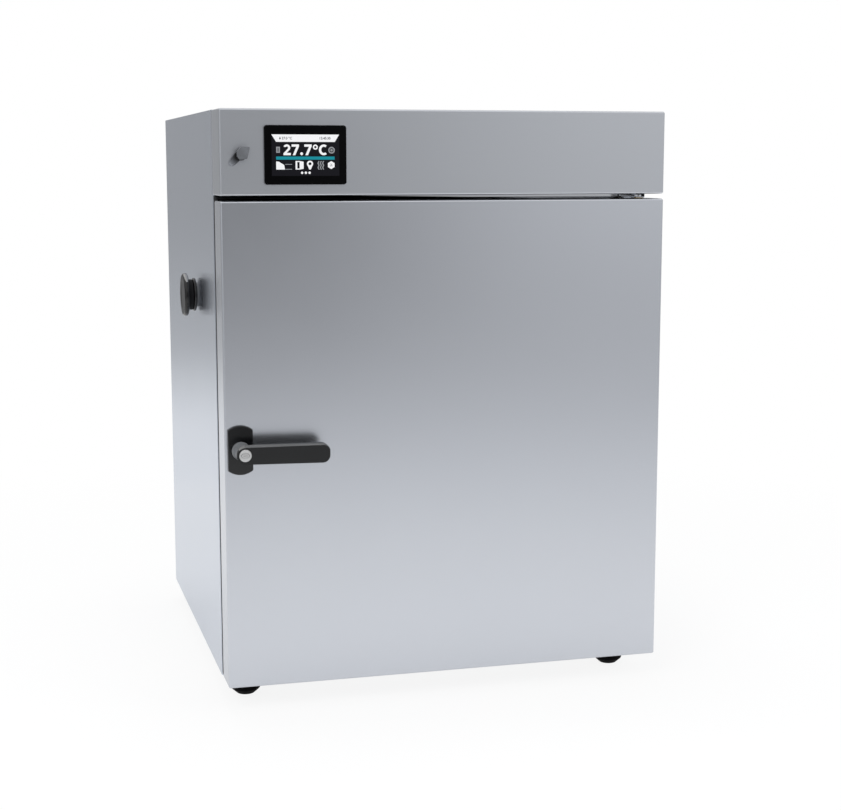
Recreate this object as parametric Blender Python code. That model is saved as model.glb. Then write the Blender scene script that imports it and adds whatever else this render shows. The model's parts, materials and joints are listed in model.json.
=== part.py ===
"""Bench laboratory incubator: a stainless cabinet with a heated and cooled chamber behind one hinged door.

Everything is in metres, +Z up. Positions below are casing coordinates: x from the middle of the casing to the
right, y from the door's front face to the back, z up from the floor. The empty "incubator" moves the whole
assembly so that the scene's origin is on the floor under the middle of the overall box.
"""

import math

import bmesh
import bpy
from mathutils import Vector

# Gaps, sheets and bends
GAP = 0.0003
SHEET = 0.0012
BEND = 0.0025
BEND_STEPS = 2
FLANGE = 0.022
PAN_LIP = 0.020
BACK_PANEL_MARGIN = 0.005
ROUND_STEPS = 32
SMALL_ROUND_STEPS = 20

# Chamber and the walls round it, which give the casing its size
CHAMBER_WIDTH = 0.460
CHAMBER_HEIGHT = 0.540
CHAMBER_DEPTH = 0.450
PLENUM_DEPTH = 0.040
LINER = 0.001
LINER_BEND = 0.008
SIDE_WALL = 0.095
FLOOR_WALL = 0.075
CEILING_WALL = 0.0762
BACK_INSULATION = 0.046
REAR_SPACE = 0.0422

# Feet
FOOT_HEIGHT = 0.036
FOOT_RADIUS = 0.0215
FOOT_TOE_RADIUS = 0.010
FOOT_CHAMFER = 0.008
FOOT_FROM_SIDE = 0.038
FOOT_FROM_END = 0.024

# Door, its seal and the fascia above it
DOOR_THICKNESS = 0.055
SEAL_GAP = 0.015
SEAL_MARGIN = 0.014
SEAL_WIDTH = 0.016
SEAL_EDGE = 0.003
DOOR_LIFT = 0.0015
DOOR_CLEAR = 0.0025
FASCIA_HEIGHT = 0.118

# Door hinge at the right edge
HINGE_FROM_SIDE = 0.029
HINGE_FROM_FRONT = 0.030
HINGE_PLATE = 0.003
HINGE_CLEAR = 0.0015
HINGE_NOSE_RADIUS = 0.010
HINGE_TAIL_WIDTH = 0.036
HINGE_TAIL_LENGTH = 0.040
HINGE_FOOT_CLEAR = 0.004
PIN_RADIUS = 0.004
PIN_DEPTH = 0.022
BUSH_WALL = 0.003
BUSH_FLANGE_WIDTH = 0.002
BUSH_FLANGE = 0.001

# Lever handle, lock and latch
HANDLE_FROM_SIDE = 0.0216
HANDLE_UP = 0.3435
PLATE_WIDTH = 0.035
PLATE_HEIGHT = 0.0695
PLATE_RISE = 0.0062
PLATE_THICKNESS = 0.005
PLATE_EDGE = 0.0012
LEVER_HUB_RADIUS = 0.0125
LEVER_REACH = 0.1185
LEVER_HEIGHT = 0.024
LEVER_THICKNESS = 0.015
LEVER_STANDOFF = 0.026
LEVER_CORNER = 0.008
LEVER_EDGE = 0.0012
LOCK_RADIUS = 0.00875
LOCK_DEPTH = 0.016
LOCK_PROUD = 0.0008
KEYWAY_WIDTH = 0.0018
KEYWAY_HEIGHT = 0.008
KEYWAY_DEPTH = 0.004
SPINDLE_RADIUS = 0.006
SPINDLE_CLEAR = 0.0006
CAM_HUB_RADIUS = 0.0105
CAM_TIP_RADIUS = 0.006
CAM_REACH = 0.020
CAM_THICKNESS = 0.003
CAM_BEHIND_DOOR = 0.0062
KEEPER_WIDTH = 0.020
KEEPER_PLATE = 0.0025
KEEPER_LIP_FROM_DOOR = 0.0022
KEEPER_SPARE = 0.004
KEEPER_WEB = 0.005

# Display in the fascia
DISPLAY_WIDTH = 0.113
DISPLAY_HEIGHT = 0.0795
DISPLAY_FROM_SIDE = 0.0626
DISPLAY_UP = 0.0156
DISPLAY_CORNER = 0.004
DISPLAY_GLASS = 0.0028
SCREEN_WIDTH = 0.0954
SCREEN_HEIGHT = 0.0560
MODULE_MARGIN = 0.004
MODULE_DEPTH = 0.018

# Fresh-air vent: lever on the fascia, rod, shutter and outlet box at the back
VENT_FROM_FLANGE = 0.0075
VENT_UP = 0.0545
VENT_HUB_RADIUS = 0.0062
VENT_HUB_DEPTH = 0.007
VENT_TAB_WIDTH = 0.0175
VENT_TAB_HEIGHT = 0.0165
VENT_TAB_DEPTH = 0.010
VENT_TAB_SLANT = 0.004
VENT_TAB_CORNER = 0.003
VENT_TAB_EDGE = 0.001
VENT_ROD_RADIUS = 0.004
SHUTTER_REACH = 0.032
SHUTTER_RADIUS = 0.016
SHUTTER_THICKNESS = 0.0015
SHUTTER_HUB_RADIUS = 0.008
SHUTTER_REST = math.radians(-45)
OUTLET_RADIUS = 0.012
VENT_PIPE_RADIUS = 0.015
VENT_PIPE_WALL = 0.0015
VENT_PIPE_FROM_WALL = 0.040
VENT_PIPE_FROM_CEILING = 0.030
VENT_BOX_MARGIN = 0.006

# Access port through the left wall, with its plug
PORT_BACK = 0.188
PORT_UP = 0.543
PORT_BORE_RADIUS = 0.015
PORT_WALL = 0.002
COLLAR_RADIUS = 0.026
COLLAR_DEPTH = 0.008
PLUG_NECK = 0.006
PLUG_NECK_RADIUS = 0.021
PLUG_CAP = 0.010
PLUG_CAP_RADIUS = 0.0325
PLUG_CAP_EDGE = 0.003
PLUG_STEM = 0.040

# Chamber fittings
SHELF_SHEET = 0.0012
SHELF_LIP = 0.012
SHELF_DEPTH = 0.400
SHELF_SIDE_CLEAR = 0.002
SHELF_FROM_BAFFLE = 0.012
SHELF_SLOTS = 9
SHELF_SLOT_WIDTH = 0.014
SHELF_SLOT_MARGIN = 0.030
RACK_SHEET = 0.002
RACK_LEDGE = 0.012
RACK_LEDGE_SHEET = 0.003
RACK_LEVELS = 5
RACK_PITCH = 0.080
RACK_FROM_ENDS = 0.028
RACK_END = 0.012
RACK_UP = 0.060
SHELF_LEVELS = {"lower": 1, "upper": 3}
BAFFLE_SIDE_GAP = 0.010
BAFFLE_END_GAP = 0.020
INTAKE_RING_RADIUS = 0.040
INTAKE_HOLE_RADIUS = 0.008
INTAKE_HOLES = 10
OUTFLOW_SLOTS = 7
OUTFLOW_SLOT_WIDTH = 0.008
OUTFLOW_SLOT_HEIGHT = 0.040
OUTFLOW_FROM_SIDE = 0.030
PROBE_RADIUS = 0.003
PROBE_REACH = 0.045
PROBE_SIDE = 0.120
PROBE_UP = 0.180
LAMP_RADIUS = 0.028
LAMP_DEPTH = 0.010
LAMP_BACK = 0.150

# Circulation fan and heater in the plenum
FAN_RADIUS = 0.072
FAN_HUB_RADIUS = 0.018
FAN_DEPTH = 0.016
FAN_PLATE = 0.002
FAN_BLADES = 10
FAN_BLADE_THICKNESS = 0.003
FAN_FROM_BAFFLE = 0.012
SHAFT_RADIUS = 0.004
SHAFT_CLEAR = 0.002
MOTOR_RADIUS = 0.034
MOTOR_DEPTH = 0.032
MOTOR_BOSS_RADIUS = 0.014
MOTOR_BOSS = 0.006
SHAFT_IN_MOTOR = 0.012
HEATER_RADIUS = 0.095
HEATER_TUBE = 0.0035
HEATER_BEND = 0.012
HEATER_FROM_BAFFLE = 0.016
HEATER_GAP_ANGLE = math.radians(24)
HEATER_STEPS = 40
HEATER_BEND_STEPS = 4

# Cooling set through the back wall
COOLER_UP = 0.175
COLD_SINK_WIDTH = 0.140
COLD_SINK_HEIGHT = 0.070
COLD_SINK_BASE = 0.005
COLD_SINK_FINS = 0.020
COOLER_BLOCK_WIDTH = 0.050
COOLER_BLOCK_HEIGHT = 0.050
HOT_SINK_WIDTH = 0.110
HOT_SINK_HEIGHT = 0.100
HOT_SINK_BASE = 0.005
SINK_FIN_COUNT = 9
SINK_FIN_SHEET = 0.002
EXHAUST_FAN_SIZE = 0.080
EXHAUST_FAN_DEPTH = 0.025
EXHAUST_DUCT_RADIUS = 0.037
EXHAUST_ROTOR_RADIUS = 0.034
EXHAUST_ROTOR_DEPTH = 0.014
EXHAUST_HUB_RADIUS = 0.014
EXHAUST_BLADES = 7
EXHAUST_STRUT = 0.003
EXHAUST_STRUT_WIDTH = 0.008
EXHAUST_AXLE_RADIUS = 0.003
EXHAUST_ROTOR_CLEAR = 0.002
GRILLE_SLOTS = 7
GRILLE_SLOT_WIDTH = 0.006
GRILLE_MARGIN = 0.006

# Electrics in the head compartment and on the back panel
ELECTRICS_BACK = 0.090
SUPPLY_SIZE = (0.120, 0.180, 0.045)
CONTROLLER_SIZE = (0.150, 0.120, 0.032)
ELECTRICS_SPACING = 0.020
INLET_FROM_SIDE = 0.125
INLET_UP = 0.055
INLET_FLANGE_WIDTH = 0.050
INLET_FLANGE_HEIGHT = 0.028
INLET_FLANGE = 0.003
INLET_BODY_WIDTH = 0.030
INLET_BODY_HEIGHT = 0.022
INLET_BODY_DEPTH = 0.022
INLET_WALL = 0.0025
INLET_FLOOR = 0.004
INLET_PIN_WIDTH = 0.002
INLET_PIN_HEIGHT = 0.004
INLET_PIN_LENGTH = 0.013
INLET_PIN_SPACING = 0.007
INLET_PIN_STEP = 0.004
SWITCH_SPACING = 0.060
SWITCH_WIDTH = 0.022
SWITCH_HEIGHT = 0.030
SWITCH_FLANGE = 0.002
SWITCH_WALL = 0.002
SWITCH_BODY_DEPTH = 0.020
SWITCH_LEDGE = 0.002
ROCKER_DEPTH = 0.008
ROCKER_PROUD = 0.003
ROCKER_TILT = math.radians(10)
ROCKER_CLEAR = 0.0008
WALL_STOP_RADIUS = 0.014
WALL_STOP_DEPTH = 0.012
WALL_STOP_FROM_SIDE = 0.060
WALL_STOP_FROM_TOP = 0.140
WALL_STOP_EDGE = 0.002

# Widths
HALF_CHAMBER = CHAMBER_WIDTH / 2
HALF_WIDTH = HALF_CHAMBER + SIDE_WALL
HALF_INSIDE = HALF_WIDTH - SHEET - GAP
HALF_FILLED = HALF_INSIDE - SHEET - GAP
HALF_FRAME = HALF_WIDTH - FLANGE - GAP
HALF_LINER = HALF_CHAMBER + LINER

# Depths
CASE_FRONT = DOOR_THICKNESS + SEAL_GAP
LINER_FRONT = CASE_FRONT + SHEET + GAP
FILLED_FRONT = LINER_FRONT + SHEET + GAP
BAFFLE_FRONT = LINER_FRONT + CHAMBER_DEPTH
LINER_BACK = BAFFLE_FRONT + PLENUM_DEPTH
BACK_SLAB_FRONT = LINER_BACK + LINER + GAP
BACK_SLAB_REAR = BACK_SLAB_FRONT + BACK_INSULATION
CASE_BACK = BACK_SLAB_REAR + REAR_SPACE
INSIDE_BACK = CASE_BACK - SHEET - GAP
BACK_PANEL_FRONT = CASE_BACK + GAP
BACK_PANEL_REAR = BACK_PANEL_FRONT + SHEET

# Heights
CASE_BOTTOM = FOOT_HEIGHT
CHAMBER_FLOOR = CASE_BOTTOM + FLOOR_WALL
CHAMBER_CEILING = CHAMBER_FLOOR + CHAMBER_HEIGHT
CHAMBER_MIDDLE = (CHAMBER_FLOOR + CHAMBER_CEILING) / 2
FRAME_TOP = CHAMBER_CEILING + CEILING_WALL
HINGE_PLATE_LOW = FRAME_TOP + GAP
FASCIA_BOTTOM = HINGE_PLATE_LOW + HINGE_PLATE + HINGE_CLEAR
CASE_TOP = FASCIA_BOTTOM + FASCIA_HEIGHT
DOOR_BOTTOM = CASE_BOTTOM + DOOR_LIFT
DOOR_TOP = HINGE_PLATE_LOW - DOOR_CLEAR

# Joint axes
HINGE_X = HALF_WIDTH - HINGE_FROM_SIDE
HINGE_Y = HINGE_FROM_FRONT
HANDLE_X = -HALF_WIDTH + HANDLE_FROM_SIDE
HANDLE_Z = DOOR_BOTTOM + HANDLE_UP
VENT_X = -HALF_WIDTH + FLANGE + VENT_FROM_FLANGE
VENT_Z = FASCIA_BOTTOM + VENT_UP
PORT_Y = CASE_FRONT + PORT_BACK
PORT_Z = CASE_BOTTOM + PORT_UP
FAN_Y = BAFFLE_FRONT + SHEET + FAN_FROM_BAFFLE
COOLER_Z = CHAMBER_MIDDLE + COOLER_UP
INLET_Z = FASCIA_BOTTOM + INLET_UP
INLET_X = HALF_WIDTH - INLET_FROM_SIDE
SWITCH_X = INLET_X - SWITCH_SPACING

# How far the plug, the handle and the wall stops reach past the casing
PLUG_REACH = COLLAR_DEPTH + PLUG_NECK + PLUG_CAP + 2 * GAP
LEVER_BACK = -(PLATE_THICKNESS + 2 * GAP + LEVER_STANDOFF)
LEVER_FRONT = LEVER_BACK - LEVER_THICKNESS
OVERALL_FRONT = LEVER_FRONT - LOCK_PROUD
OVERALL_BACK = BACK_PANEL_REAR + GAP + WALL_STOP_DEPTH
ORIGIN_SHIFT = (PLUG_REACH / 2, -(OVERALL_FRONT + OVERALL_BACK) / 2, 0)

# Finishes: colour, roughness, metallic
STAINLESS = ((0.56, 0.57, 0.59, 1.0), 0.34, 1.0)
BRIGHT_STEEL = ((0.70, 0.71, 0.72, 1.0), 0.25, 1.0)
BLACK_PLASTIC = ((0.012, 0.012, 0.014, 1.0), 0.42, 0.0)
GREY_PLASTIC = ((0.22, 0.23, 0.25, 1.0), 0.50, 0.0)
BLACK_RUBBER = ((0.010, 0.010, 0.011, 1.0), 0.60, 0.0)
SEAL_RUBBER = ((0.025, 0.025, 0.028, 1.0), 0.70, 0.0)
BLACK_GLASS = ((0.004, 0.004, 0.005, 1.0), 0.06, 0.0)
MINERAL_WOOL = ((0.55, 0.50, 0.36, 1.0), 0.95, 0.0)
ALUMINIUM = ((0.65, 0.66, 0.67, 1.0), 0.40, 1.0)
BRASS = ((0.62, 0.47, 0.22, 1.0), 0.35, 1.0)
LAMP_LENS = ((0.85, 0.86, 0.84, 1.0), 0.25, 0.0)
GALVANISED = ((0.50, 0.52, 0.54, 1.0), 0.45, 1.0)

# Turns that lay a shape's own +Z along a casing direction
LAY_ALONG = {
    "+Z": (0, 0, 0),
    "-Z": (math.pi, 0, 0),
    "+Y": (-math.pi / 2, 0, 0),
    "-Y": (math.pi / 2, 0, 0),
    "+X": (0, math.pi / 2, 0),
    "-X": (0, -math.pi / 2, 0),
}
BOX_SIDES = {
    "left": (0, 4, 7, 3),
    "right": (1, 2, 6, 5),
    "front": (0, 1, 5, 4),
    "back": (2, 3, 7, 6),
    "bottom": (0, 3, 2, 1),
    "top": (4, 5, 6, 7),
}


# Placing and finishing


def casing_place(pivot):
    """Where a pivot stands in casing coordinates: the root empty is their origin."""
    place = Vector()
    while pivot.parent:
        place += pivot.location
        pivot = pivot.parent
    return place


def add_pivot(name, at, parent=None):
    pivot = bpy.data.objects.new(name, None)
    bpy.context.scene.collection.objects.link(pivot)
    pivot.parent = parent
    pivot.location = Vector(at) - casing_place(parent) if parent else Vector(at)
    return pivot


def finish_material(name, finish):
    colour, roughness, metallic = finish
    material = bpy.data.materials.new(name)
    material.use_nodes = True
    shader = material.node_tree.nodes["Principled BSDF"]
    shader.inputs["Base Color"].default_value = colour
    shader.inputs["Roughness"].default_value = roughness
    shader.inputs["Metallic"].default_value = metallic
    return material


def place(piece, at, pivot, finish):
    """Stands a piece on its pivot. A piece with no finish is a tool that cuts or joins, and isn't shown."""
    bpy.context.scene.collection.objects.link(piece)
    piece.parent = pivot
    piece.location = Vector(at) - casing_place(pivot)
    if finish:
        piece.data.materials.append(finish_material(piece.name, finish))
    else:
        piece.hide_render = True
        piece.display_type = "WIRE"
    return piece


def add_mesh(name, shape, at, pivot, finish, lay="+Z", smooth=False):
    bmesh.ops.recalc_face_normals(shape, faces=shape.faces)
    mesh = bpy.data.meshes.new(name)
    shape.to_mesh(mesh)
    shape.free()
    if smooth:
        mesh.shade_smooth()
        mesh.set_sharp_from_angle(angle=math.radians(40))
    piece = bpy.data.objects.new(name, mesh)
    piece.rotation_euler = LAY_ALONG[lay]
    return place(piece, at, pivot, finish)


def round_edges(piece, width, steps=1):
    edge = piece.modifiers.new("edges", "BEVEL")
    edge.width = width
    edge.segments = steps
    edge.limit_method = "ANGLE"


def combine(piece, tool, operation):
    change = piece.modifiers.new(tool.name, "BOOLEAN")
    change.operation = operation
    change.object = tool


def cut(tool, *pieces):
    for piece in pieces:
        combine(piece, tool, "DIFFERENCE")


# Shapes


def box_corners(low, high):
    (x0, y0, z0), (x1, y1, z1) = low, high
    base = ((x0, y0), (x1, y0), (x1, y1), (x0, y1))
    return [Vector((x, y, z)) for z in (z0, z1) for x, y in base]


def block(name, low, high, pivot, finish=None, edge=0.0):
    """A solid box between two corners."""
    middle = (Vector(low) + Vector(high)) / 2
    shape = bmesh.new()
    corners = [shape.verts.new(corner - middle) for corner in box_corners(low, high)]
    for side in BOX_SIDES.values():
        shape.faces.new([corners[i] for i in side])
    piece = add_mesh(name, shape, middle, pivot, finish)
    if edge:
        round_edges(piece, edge)
    return piece


def folded_sheet(name, low, high, sides, wall, bend, pivot, finish):
    """Sheet metal folded round some sides of a box, with its outer faces on the box."""
    middle = (Vector(low) + Vector(high)) / 2
    shape = bmesh.new()
    corners = [shape.verts.new(corner - middle) for corner in box_corners(low, high)]
    for side in sides:
        shape.faces.new([corners[i] for i in BOX_SIDES[side]])
    unused = [corner for corner in corners if not corner.link_faces]
    bmesh.ops.delete(shape, geom=unused, context="VERTS")
    mesh = bpy.data.meshes.new(name)
    shape.to_mesh(mesh)
    shape.free()
    piece = place(bpy.data.objects.new(name, mesh), middle, pivot, finish)
    round_edges(piece, bend, BEND_STEPS)
    thickness = piece.modifiers.new("sheet", "SOLIDIFY")
    thickness.thickness = wall
    thickness.offset = -1
    thickness.use_even_offset = True
    return piece


def prism(name, outline, along, length, at, pivot, finish=None, edge=0.0, smooth=False):
    """An outline in the two other axes, drawn out by a length along one axis from the point at."""
    to_point = {
        "X": lambda u, v, t: (t, u, v),
        "Y": lambda u, v, t: (u, t, v),
        "Z": lambda u, v, t: (u, v, t),
    }[along]
    shape = bmesh.new()
    start = shape.faces.new([shape.verts.new(to_point(u, v, 0)) for u, v in outline])
    drawn = bmesh.ops.extrude_face_region(shape, geom=[start])["geom"]
    moved = [item for item in drawn if isinstance(item, bmesh.types.BMVert)]
    bmesh.ops.translate(shape, verts=moved, vec=to_point(0, 0, length))
    piece = add_mesh(name, shape, at, pivot, finish, smooth=smooth)
    if edge:
        round_edges(piece, edge)
    return piece


def turned(name, profile, at, lay, pivot, finish=None, closed=False, steps=ROUND_STEPS):
    """A profile of (radius, height) turned once round its own axis, laid along a casing direction."""
    shape = bmesh.new()
    points = [shape.verts.new((radius, 0, height)) for radius, height in profile]
    edges = [shape.edges.new(pair) for pair in zip(points, points[1:])]
    if closed:
        edges.append(shape.edges.new((points[-1], points[0])))
    bmesh.ops.spin(
        shape, geom=points + edges, axis=(0, 0, 1), angle=math.tau, steps=steps, use_merge=True
    )
    bmesh.ops.remove_doubles(shape, verts=shape.verts, dist=1e-6)
    return add_mesh(name, shape, at, pivot, finish, lay=lay, smooth=True)


def rod(name, radius, length, at, lay, pivot, finish=None, steps=SMALL_ROUND_STEPS):
    profile = [(0, 0), (radius, 0), (radius, length), (0, length)]
    return turned(name, profile, at, lay, pivot, finish, steps=steps)


def tube(name, inner, outer, length, at, lay, pivot, finish=None, steps=ROUND_STEPS):
    profile = [(inner, 0), (outer, 0), (outer, length), (inner, length)]
    return turned(name, profile, at, lay, pivot, finish, closed=True, steps=steps)


def frame_ring(name, outer, inner, along_y, pivot, finish):
    """A flat rectangular ring in the XZ plane: outer and inner are (low x, low z, high x, high z)."""
    shape = bmesh.new()

    def loop(bounds, y):
        x0, z0, x1, z1 = bounds
        return [shape.verts.new((x, y, z)) for x, z in ((x0, z0), (x1, z0), (x1, z1), (x0, z1))]

    front, back = along_y
    rings = [loop(outer, front), loop(outer, back), loop(inner, back), loop(inner, front)]
    for one, other in zip(rings, rings[1:] + rings[:1]):
        for i in range(4):
            shape.faces.new((one[i], one[i - 1], other[i - 1], other[i]))
    return add_mesh(name, shape, (0, 0, 0), pivot, finish)


def arc(centre, radius, start, end, steps):
    turns = [start + (end - start) * i / steps for i in range(steps + 1)]
    return [(centre[0] + radius * math.cos(t), centre[1] + radius * math.sin(t)) for t in turns]


def rounded_rectangle(width, height, corner, steps=4):
    outline = []
    for i, (across, up) in enumerate(((1, -1), (1, 1), (-1, 1), (-1, -1))):
        centre = (across * (width / 2 - corner), up * (height / 2 - corner))
        start = (i - 1) * math.pi / 2
        outline += arc(centre, corner, start, start + math.pi / 2, steps)
    return outline


def paddle(hub, tip, reach, turn, steps=10):
    """The outline round two circles that lie a reach apart, turned about the first one's centre."""
    lean = math.acos((hub - tip) / reach)
    centre = (reach * math.cos(turn), reach * math.sin(turn))
    outline = arc((0, 0), hub, turn + lean, turn + math.tau - lean, steps)
    return outline + arc(centre, tip, turn - lean, turn + lean, steps)


def comb(length, base, tooth, count, thickness, end=0.0):
    """A comb's outline: its back lies on the first axis, and its teeth stand along the second."""
    spacing = (length - 2 * end - thickness) / (count - 1)
    outline = [(-length / 2, base)] if end else []
    for i in range(count):
        left = -length / 2 + end + i * spacing
        if i or end:
            outline.append((left, base))
        outline.append((left, base + tooth))
        outline.append((left + thickness, base + tooth))
        if i < count - 1 or end:
            outline.append((left + thickness, base))
    if end:
        outline.append((length / 2, base))
    return outline + [(length / 2, 0), (-length / 2, 0)]


def blade_wheel(hub, tip, count, thickness):
    """The outline of a wheel of straight blades on a round hub."""
    outline = []
    half = thickness / 2
    for i in range(count):
        turn = math.tau * i / count
        for radius, side in ((hub, -1), (tip, -1), (tip, 1), (hub, 1)):
            angle = turn + side * math.asin(half / radius)
            outline.append((radius * math.cos(angle), radius * math.sin(angle)))
    return outline


def many_blocks(name, spans, pivot):
    """Several separate boxes in one cutting tool."""
    shape = bmesh.new()
    for low, high in spans:
        corners = [shape.verts.new(corner) for corner in box_corners(low, high)]
        for side in BOX_SIDES.values():
            shape.faces.new([corners[i] for i in side])
    return add_mesh(name, shape, (0, 0, 0), pivot, None)


# Casing


def build_casing(root):
    for name, low_x, side in (("left", -HALF_WIDTH, "left"), ("right", HALF_WIDTH - FLANGE, "right")):
        folded_sheet(
            f"side_panel_{name}",
            (low_x, CASE_FRONT, CASE_BOTTOM),
            (low_x + FLANGE, CASE_BACK, CASE_TOP),
            ("front", side, "back"),
            SHEET,
            BEND,
            root,
            STAINLESS,
        )
    folded_sheet(
        "top_cover",
        (-HALF_INSIDE, LINER_FRONT, CASE_TOP - PAN_LIP),
        (HALF_INSIDE, INSIDE_BACK, CASE_TOP),
        ("left", "right", "front", "back", "top"),
        SHEET,
        BEND,
        root,
        STAINLESS,
    )
    folded_sheet(
        "base_pan",
        (-HALF_INSIDE, LINER_FRONT, CASE_BOTTOM),
        (HALF_INSIDE, INSIDE_BACK, CASE_BOTTOM + PAN_LIP),
        ("left", "right", "front", "back", "bottom"),
        SHEET,
        BEND,
        root,
        GALVANISED,
    )
    half = HALF_WIDTH - BACK_PANEL_MARGIN
    block(
        "back_panel",
        (-half, BACK_PANEL_FRONT, CASE_BOTTOM + BACK_PANEL_MARGIN),
        (half, BACK_PANEL_REAR, CASE_TOP - BACK_PANEL_MARGIN),
        root,
        GALVANISED,
    )
    frame_ring(
        "front_frame",
        (-HALF_FRAME, CASE_BOTTOM, HALF_FRAME, FRAME_TOP),
        (-HALF_CHAMBER, CHAMBER_FLOOR, HALF_CHAMBER, CHAMBER_CEILING),
        (CASE_FRONT, CASE_FRONT + SHEET),
        root,
        STAINLESS,
    )
    folded_sheet(
        "fascia",
        (-HALF_WIDTH, 0, FASCIA_BOTTOM),
        (HALF_WIDTH, CASE_FRONT - GAP, CASE_TOP),
        ("left", "right", "front", "bottom", "top"),
        SHEET,
        BEND,
        root,
        STAINLESS,
    )


def build_feet(root):
    profile = [
        (0, 0),
        (FOOT_TOE_RADIUS, 0),
        (FOOT_RADIUS, FOOT_CHAMFER),
        (FOOT_RADIUS, FOOT_HEIGHT - GAP),
        (0, FOOT_HEIGHT - GAP),
    ]
    across = HALF_WIDTH - FOOT_FROM_SIDE
    for end, y in (("front", CASE_FRONT + FOOT_FROM_END), ("rear", CASE_BACK - FOOT_FROM_END)):
        for side, x in (("left", -across), ("right", across)):
            turned(f"foot_{end}_{side}", profile, (x, y, 0), "+Z", root, BLACK_RUBBER)


def build_insulation(root):
    """Five slabs of mineral wool round the chamber, and the stainless liner inside them."""
    low = CASE_BOTTOM + SHEET + GAP
    high = FRAME_TOP
    wall = HALF_LINER + GAP
    slabs = {
        "left": ((-HALF_FILLED, FILLED_FRONT, low), (-wall, LINER_BACK + LINER, high)),
        "right": ((wall, FILLED_FRONT, low), (HALF_FILLED, LINER_BACK + LINER, high)),
        "bottom": (
            (-HALF_LINER, FILLED_FRONT, low),
            (HALF_LINER, LINER_BACK + LINER, CHAMBER_FLOOR - LINER - GAP),
        ),
        "top": (
            (-HALF_LINER, FILLED_FRONT, CHAMBER_CEILING + LINER + GAP),
            (HALF_LINER, LINER_BACK + LINER, high),
        ),
        "back": ((-HALF_FILLED, BACK_SLAB_FRONT, low), (HALF_FILLED, BACK_SLAB_REAR, high)),
    }
    for side, (near, far) in slabs.items():
        block(f"insulation_{side}", near, far, root, MINERAL_WOOL, edge=BEND)
    folded_sheet(
        "chamber_liner",
        (-HALF_LINER, LINER_FRONT, CHAMBER_FLOOR - LINER),
        (HALF_LINER, LINER_BACK + LINER, CHAMBER_CEILING + LINER),
        ("left", "right", "back", "bottom", "top"),
        LINER,
        LINER_BEND,
        root,
        BRIGHT_STEEL,
    )


# Chamber fittings


def build_shelves(root):
    length = (RACK_LEVELS - 1) * RACK_PITCH + RACK_LEDGE_SHEET + 2 * RACK_END
    depth = CHAMBER_DEPTH - 2 * RACK_FROM_ENDS
    front = LINER_FRONT + RACK_FROM_ENDS
    outline = comb(length, RACK_SHEET, RACK_LEDGE, RACK_LEVELS, RACK_LEDGE_SHEET, RACK_END)
    wall = HALF_CHAMBER - GAP
    foot = CHAMBER_FLOOR + RACK_UP
    for side, across in (("left", -1), ("right", 1)):
        upright = [(-across * inward, up) for up, inward in outline]
        prism(
            f"shelf_rack_{side}",
            upright,
            "Y",
            depth,
            (across * wall, front, foot + length / 2),
            root,
            BRIGHT_STEEL,
        )
    half = wall - RACK_SHEET - SHELF_SIDE_CLEAR
    back = BAFFLE_FRONT - SHELF_FROM_BAFFLE
    lowest = foot + RACK_END + RACK_LEDGE_SHEET
    for name, level in SHELF_LEVELS.items():
        base = lowest + level * RACK_PITCH + GAP
        shelf = folded_sheet(
            f"shelf_{name}",
            (-half, back - SHELF_DEPTH, base),
            (half, back, base + SHELF_LIP),
            ("front", "back", "bottom"),
            SHELF_SHEET,
            BEND,
            root,
            BRIGHT_STEEL,
        )
        inside = half - RACK_LEDGE - SHELF_SLOT_MARGIN
        pitch = (SHELF_DEPTH - 2 * SHELF_SLOT_MARGIN) / SHELF_SLOTS
        spans = []
        for k in range(SHELF_SLOTS):
            y = back - SHELF_DEPTH + SHELF_SLOT_MARGIN + (k + 0.5) * pitch
            near, far = y - SHELF_SLOT_WIDTH / 2, y + SHELF_SLOT_WIDTH / 2
            under, over = base - SHELF_SHEET, base + 2 * SHELF_SHEET
            for left, right in ((-inside, -SHELF_SLOT_WIDTH / 2), (SHELF_SLOT_WIDTH / 2, inside)):
                spans.append(((left, near, under), (right, far, over)))
        cut(many_blocks(f"{shelf.name}_slots", spans, root), shelf)


def build_baffle(root):
    """The inner back wall that hides the fan, with a ring of intake holes and rows of outflow slots."""
    half = HALF_CHAMBER - BAFFLE_SIDE_GAP
    low, high = CHAMBER_FLOOR + BAFFLE_END_GAP, CHAMBER_CEILING - BAFFLE_END_GAP
    baffle = folded_sheet(
        "air_baffle",
        (-half, BAFFLE_FRONT, low),
        (half, LINER_BACK - GAP, high),
        ("left", "right", "front", "bottom", "top"),
        SHEET,
        BEND,
        root,
        BRIGHT_STEEL,
    )
    pitch = (high - low) / OUTFLOW_SLOTS
    spans = []
    for side in (-1, 1):
        x = side * (half - OUTFLOW_FROM_SIDE)
        for k in range(OUTFLOW_SLOTS):
            z = low + (k + 0.5) * pitch
            near = (x - OUTFLOW_SLOT_WIDTH / 2, BAFFLE_FRONT - SHEET, z - OUTFLOW_SLOT_HEIGHT / 2)
            far = (x + OUTFLOW_SLOT_WIDTH / 2, BAFFLE_FRONT + 2 * SHEET, z + OUTFLOW_SLOT_HEIGHT / 2)
            spans.append((near, far))
    cut(many_blocks("outflow_slots", spans, root), baffle)
    for k in range(INTAKE_HOLES):
        turn = math.tau * k / INTAKE_HOLES
        x = INTAKE_RING_RADIUS * math.cos(turn)
        z = CHAMBER_MIDDLE + INTAKE_RING_RADIUS * math.sin(turn)
        at = (x, BAFFLE_FRONT - SHEET, z)
        cut(rod(f"intake_hole_{k}", INTAKE_HOLE_RADIUS, 3 * SHEET, at, "+Y", root, steps=12), baffle)
    return baffle


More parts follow.
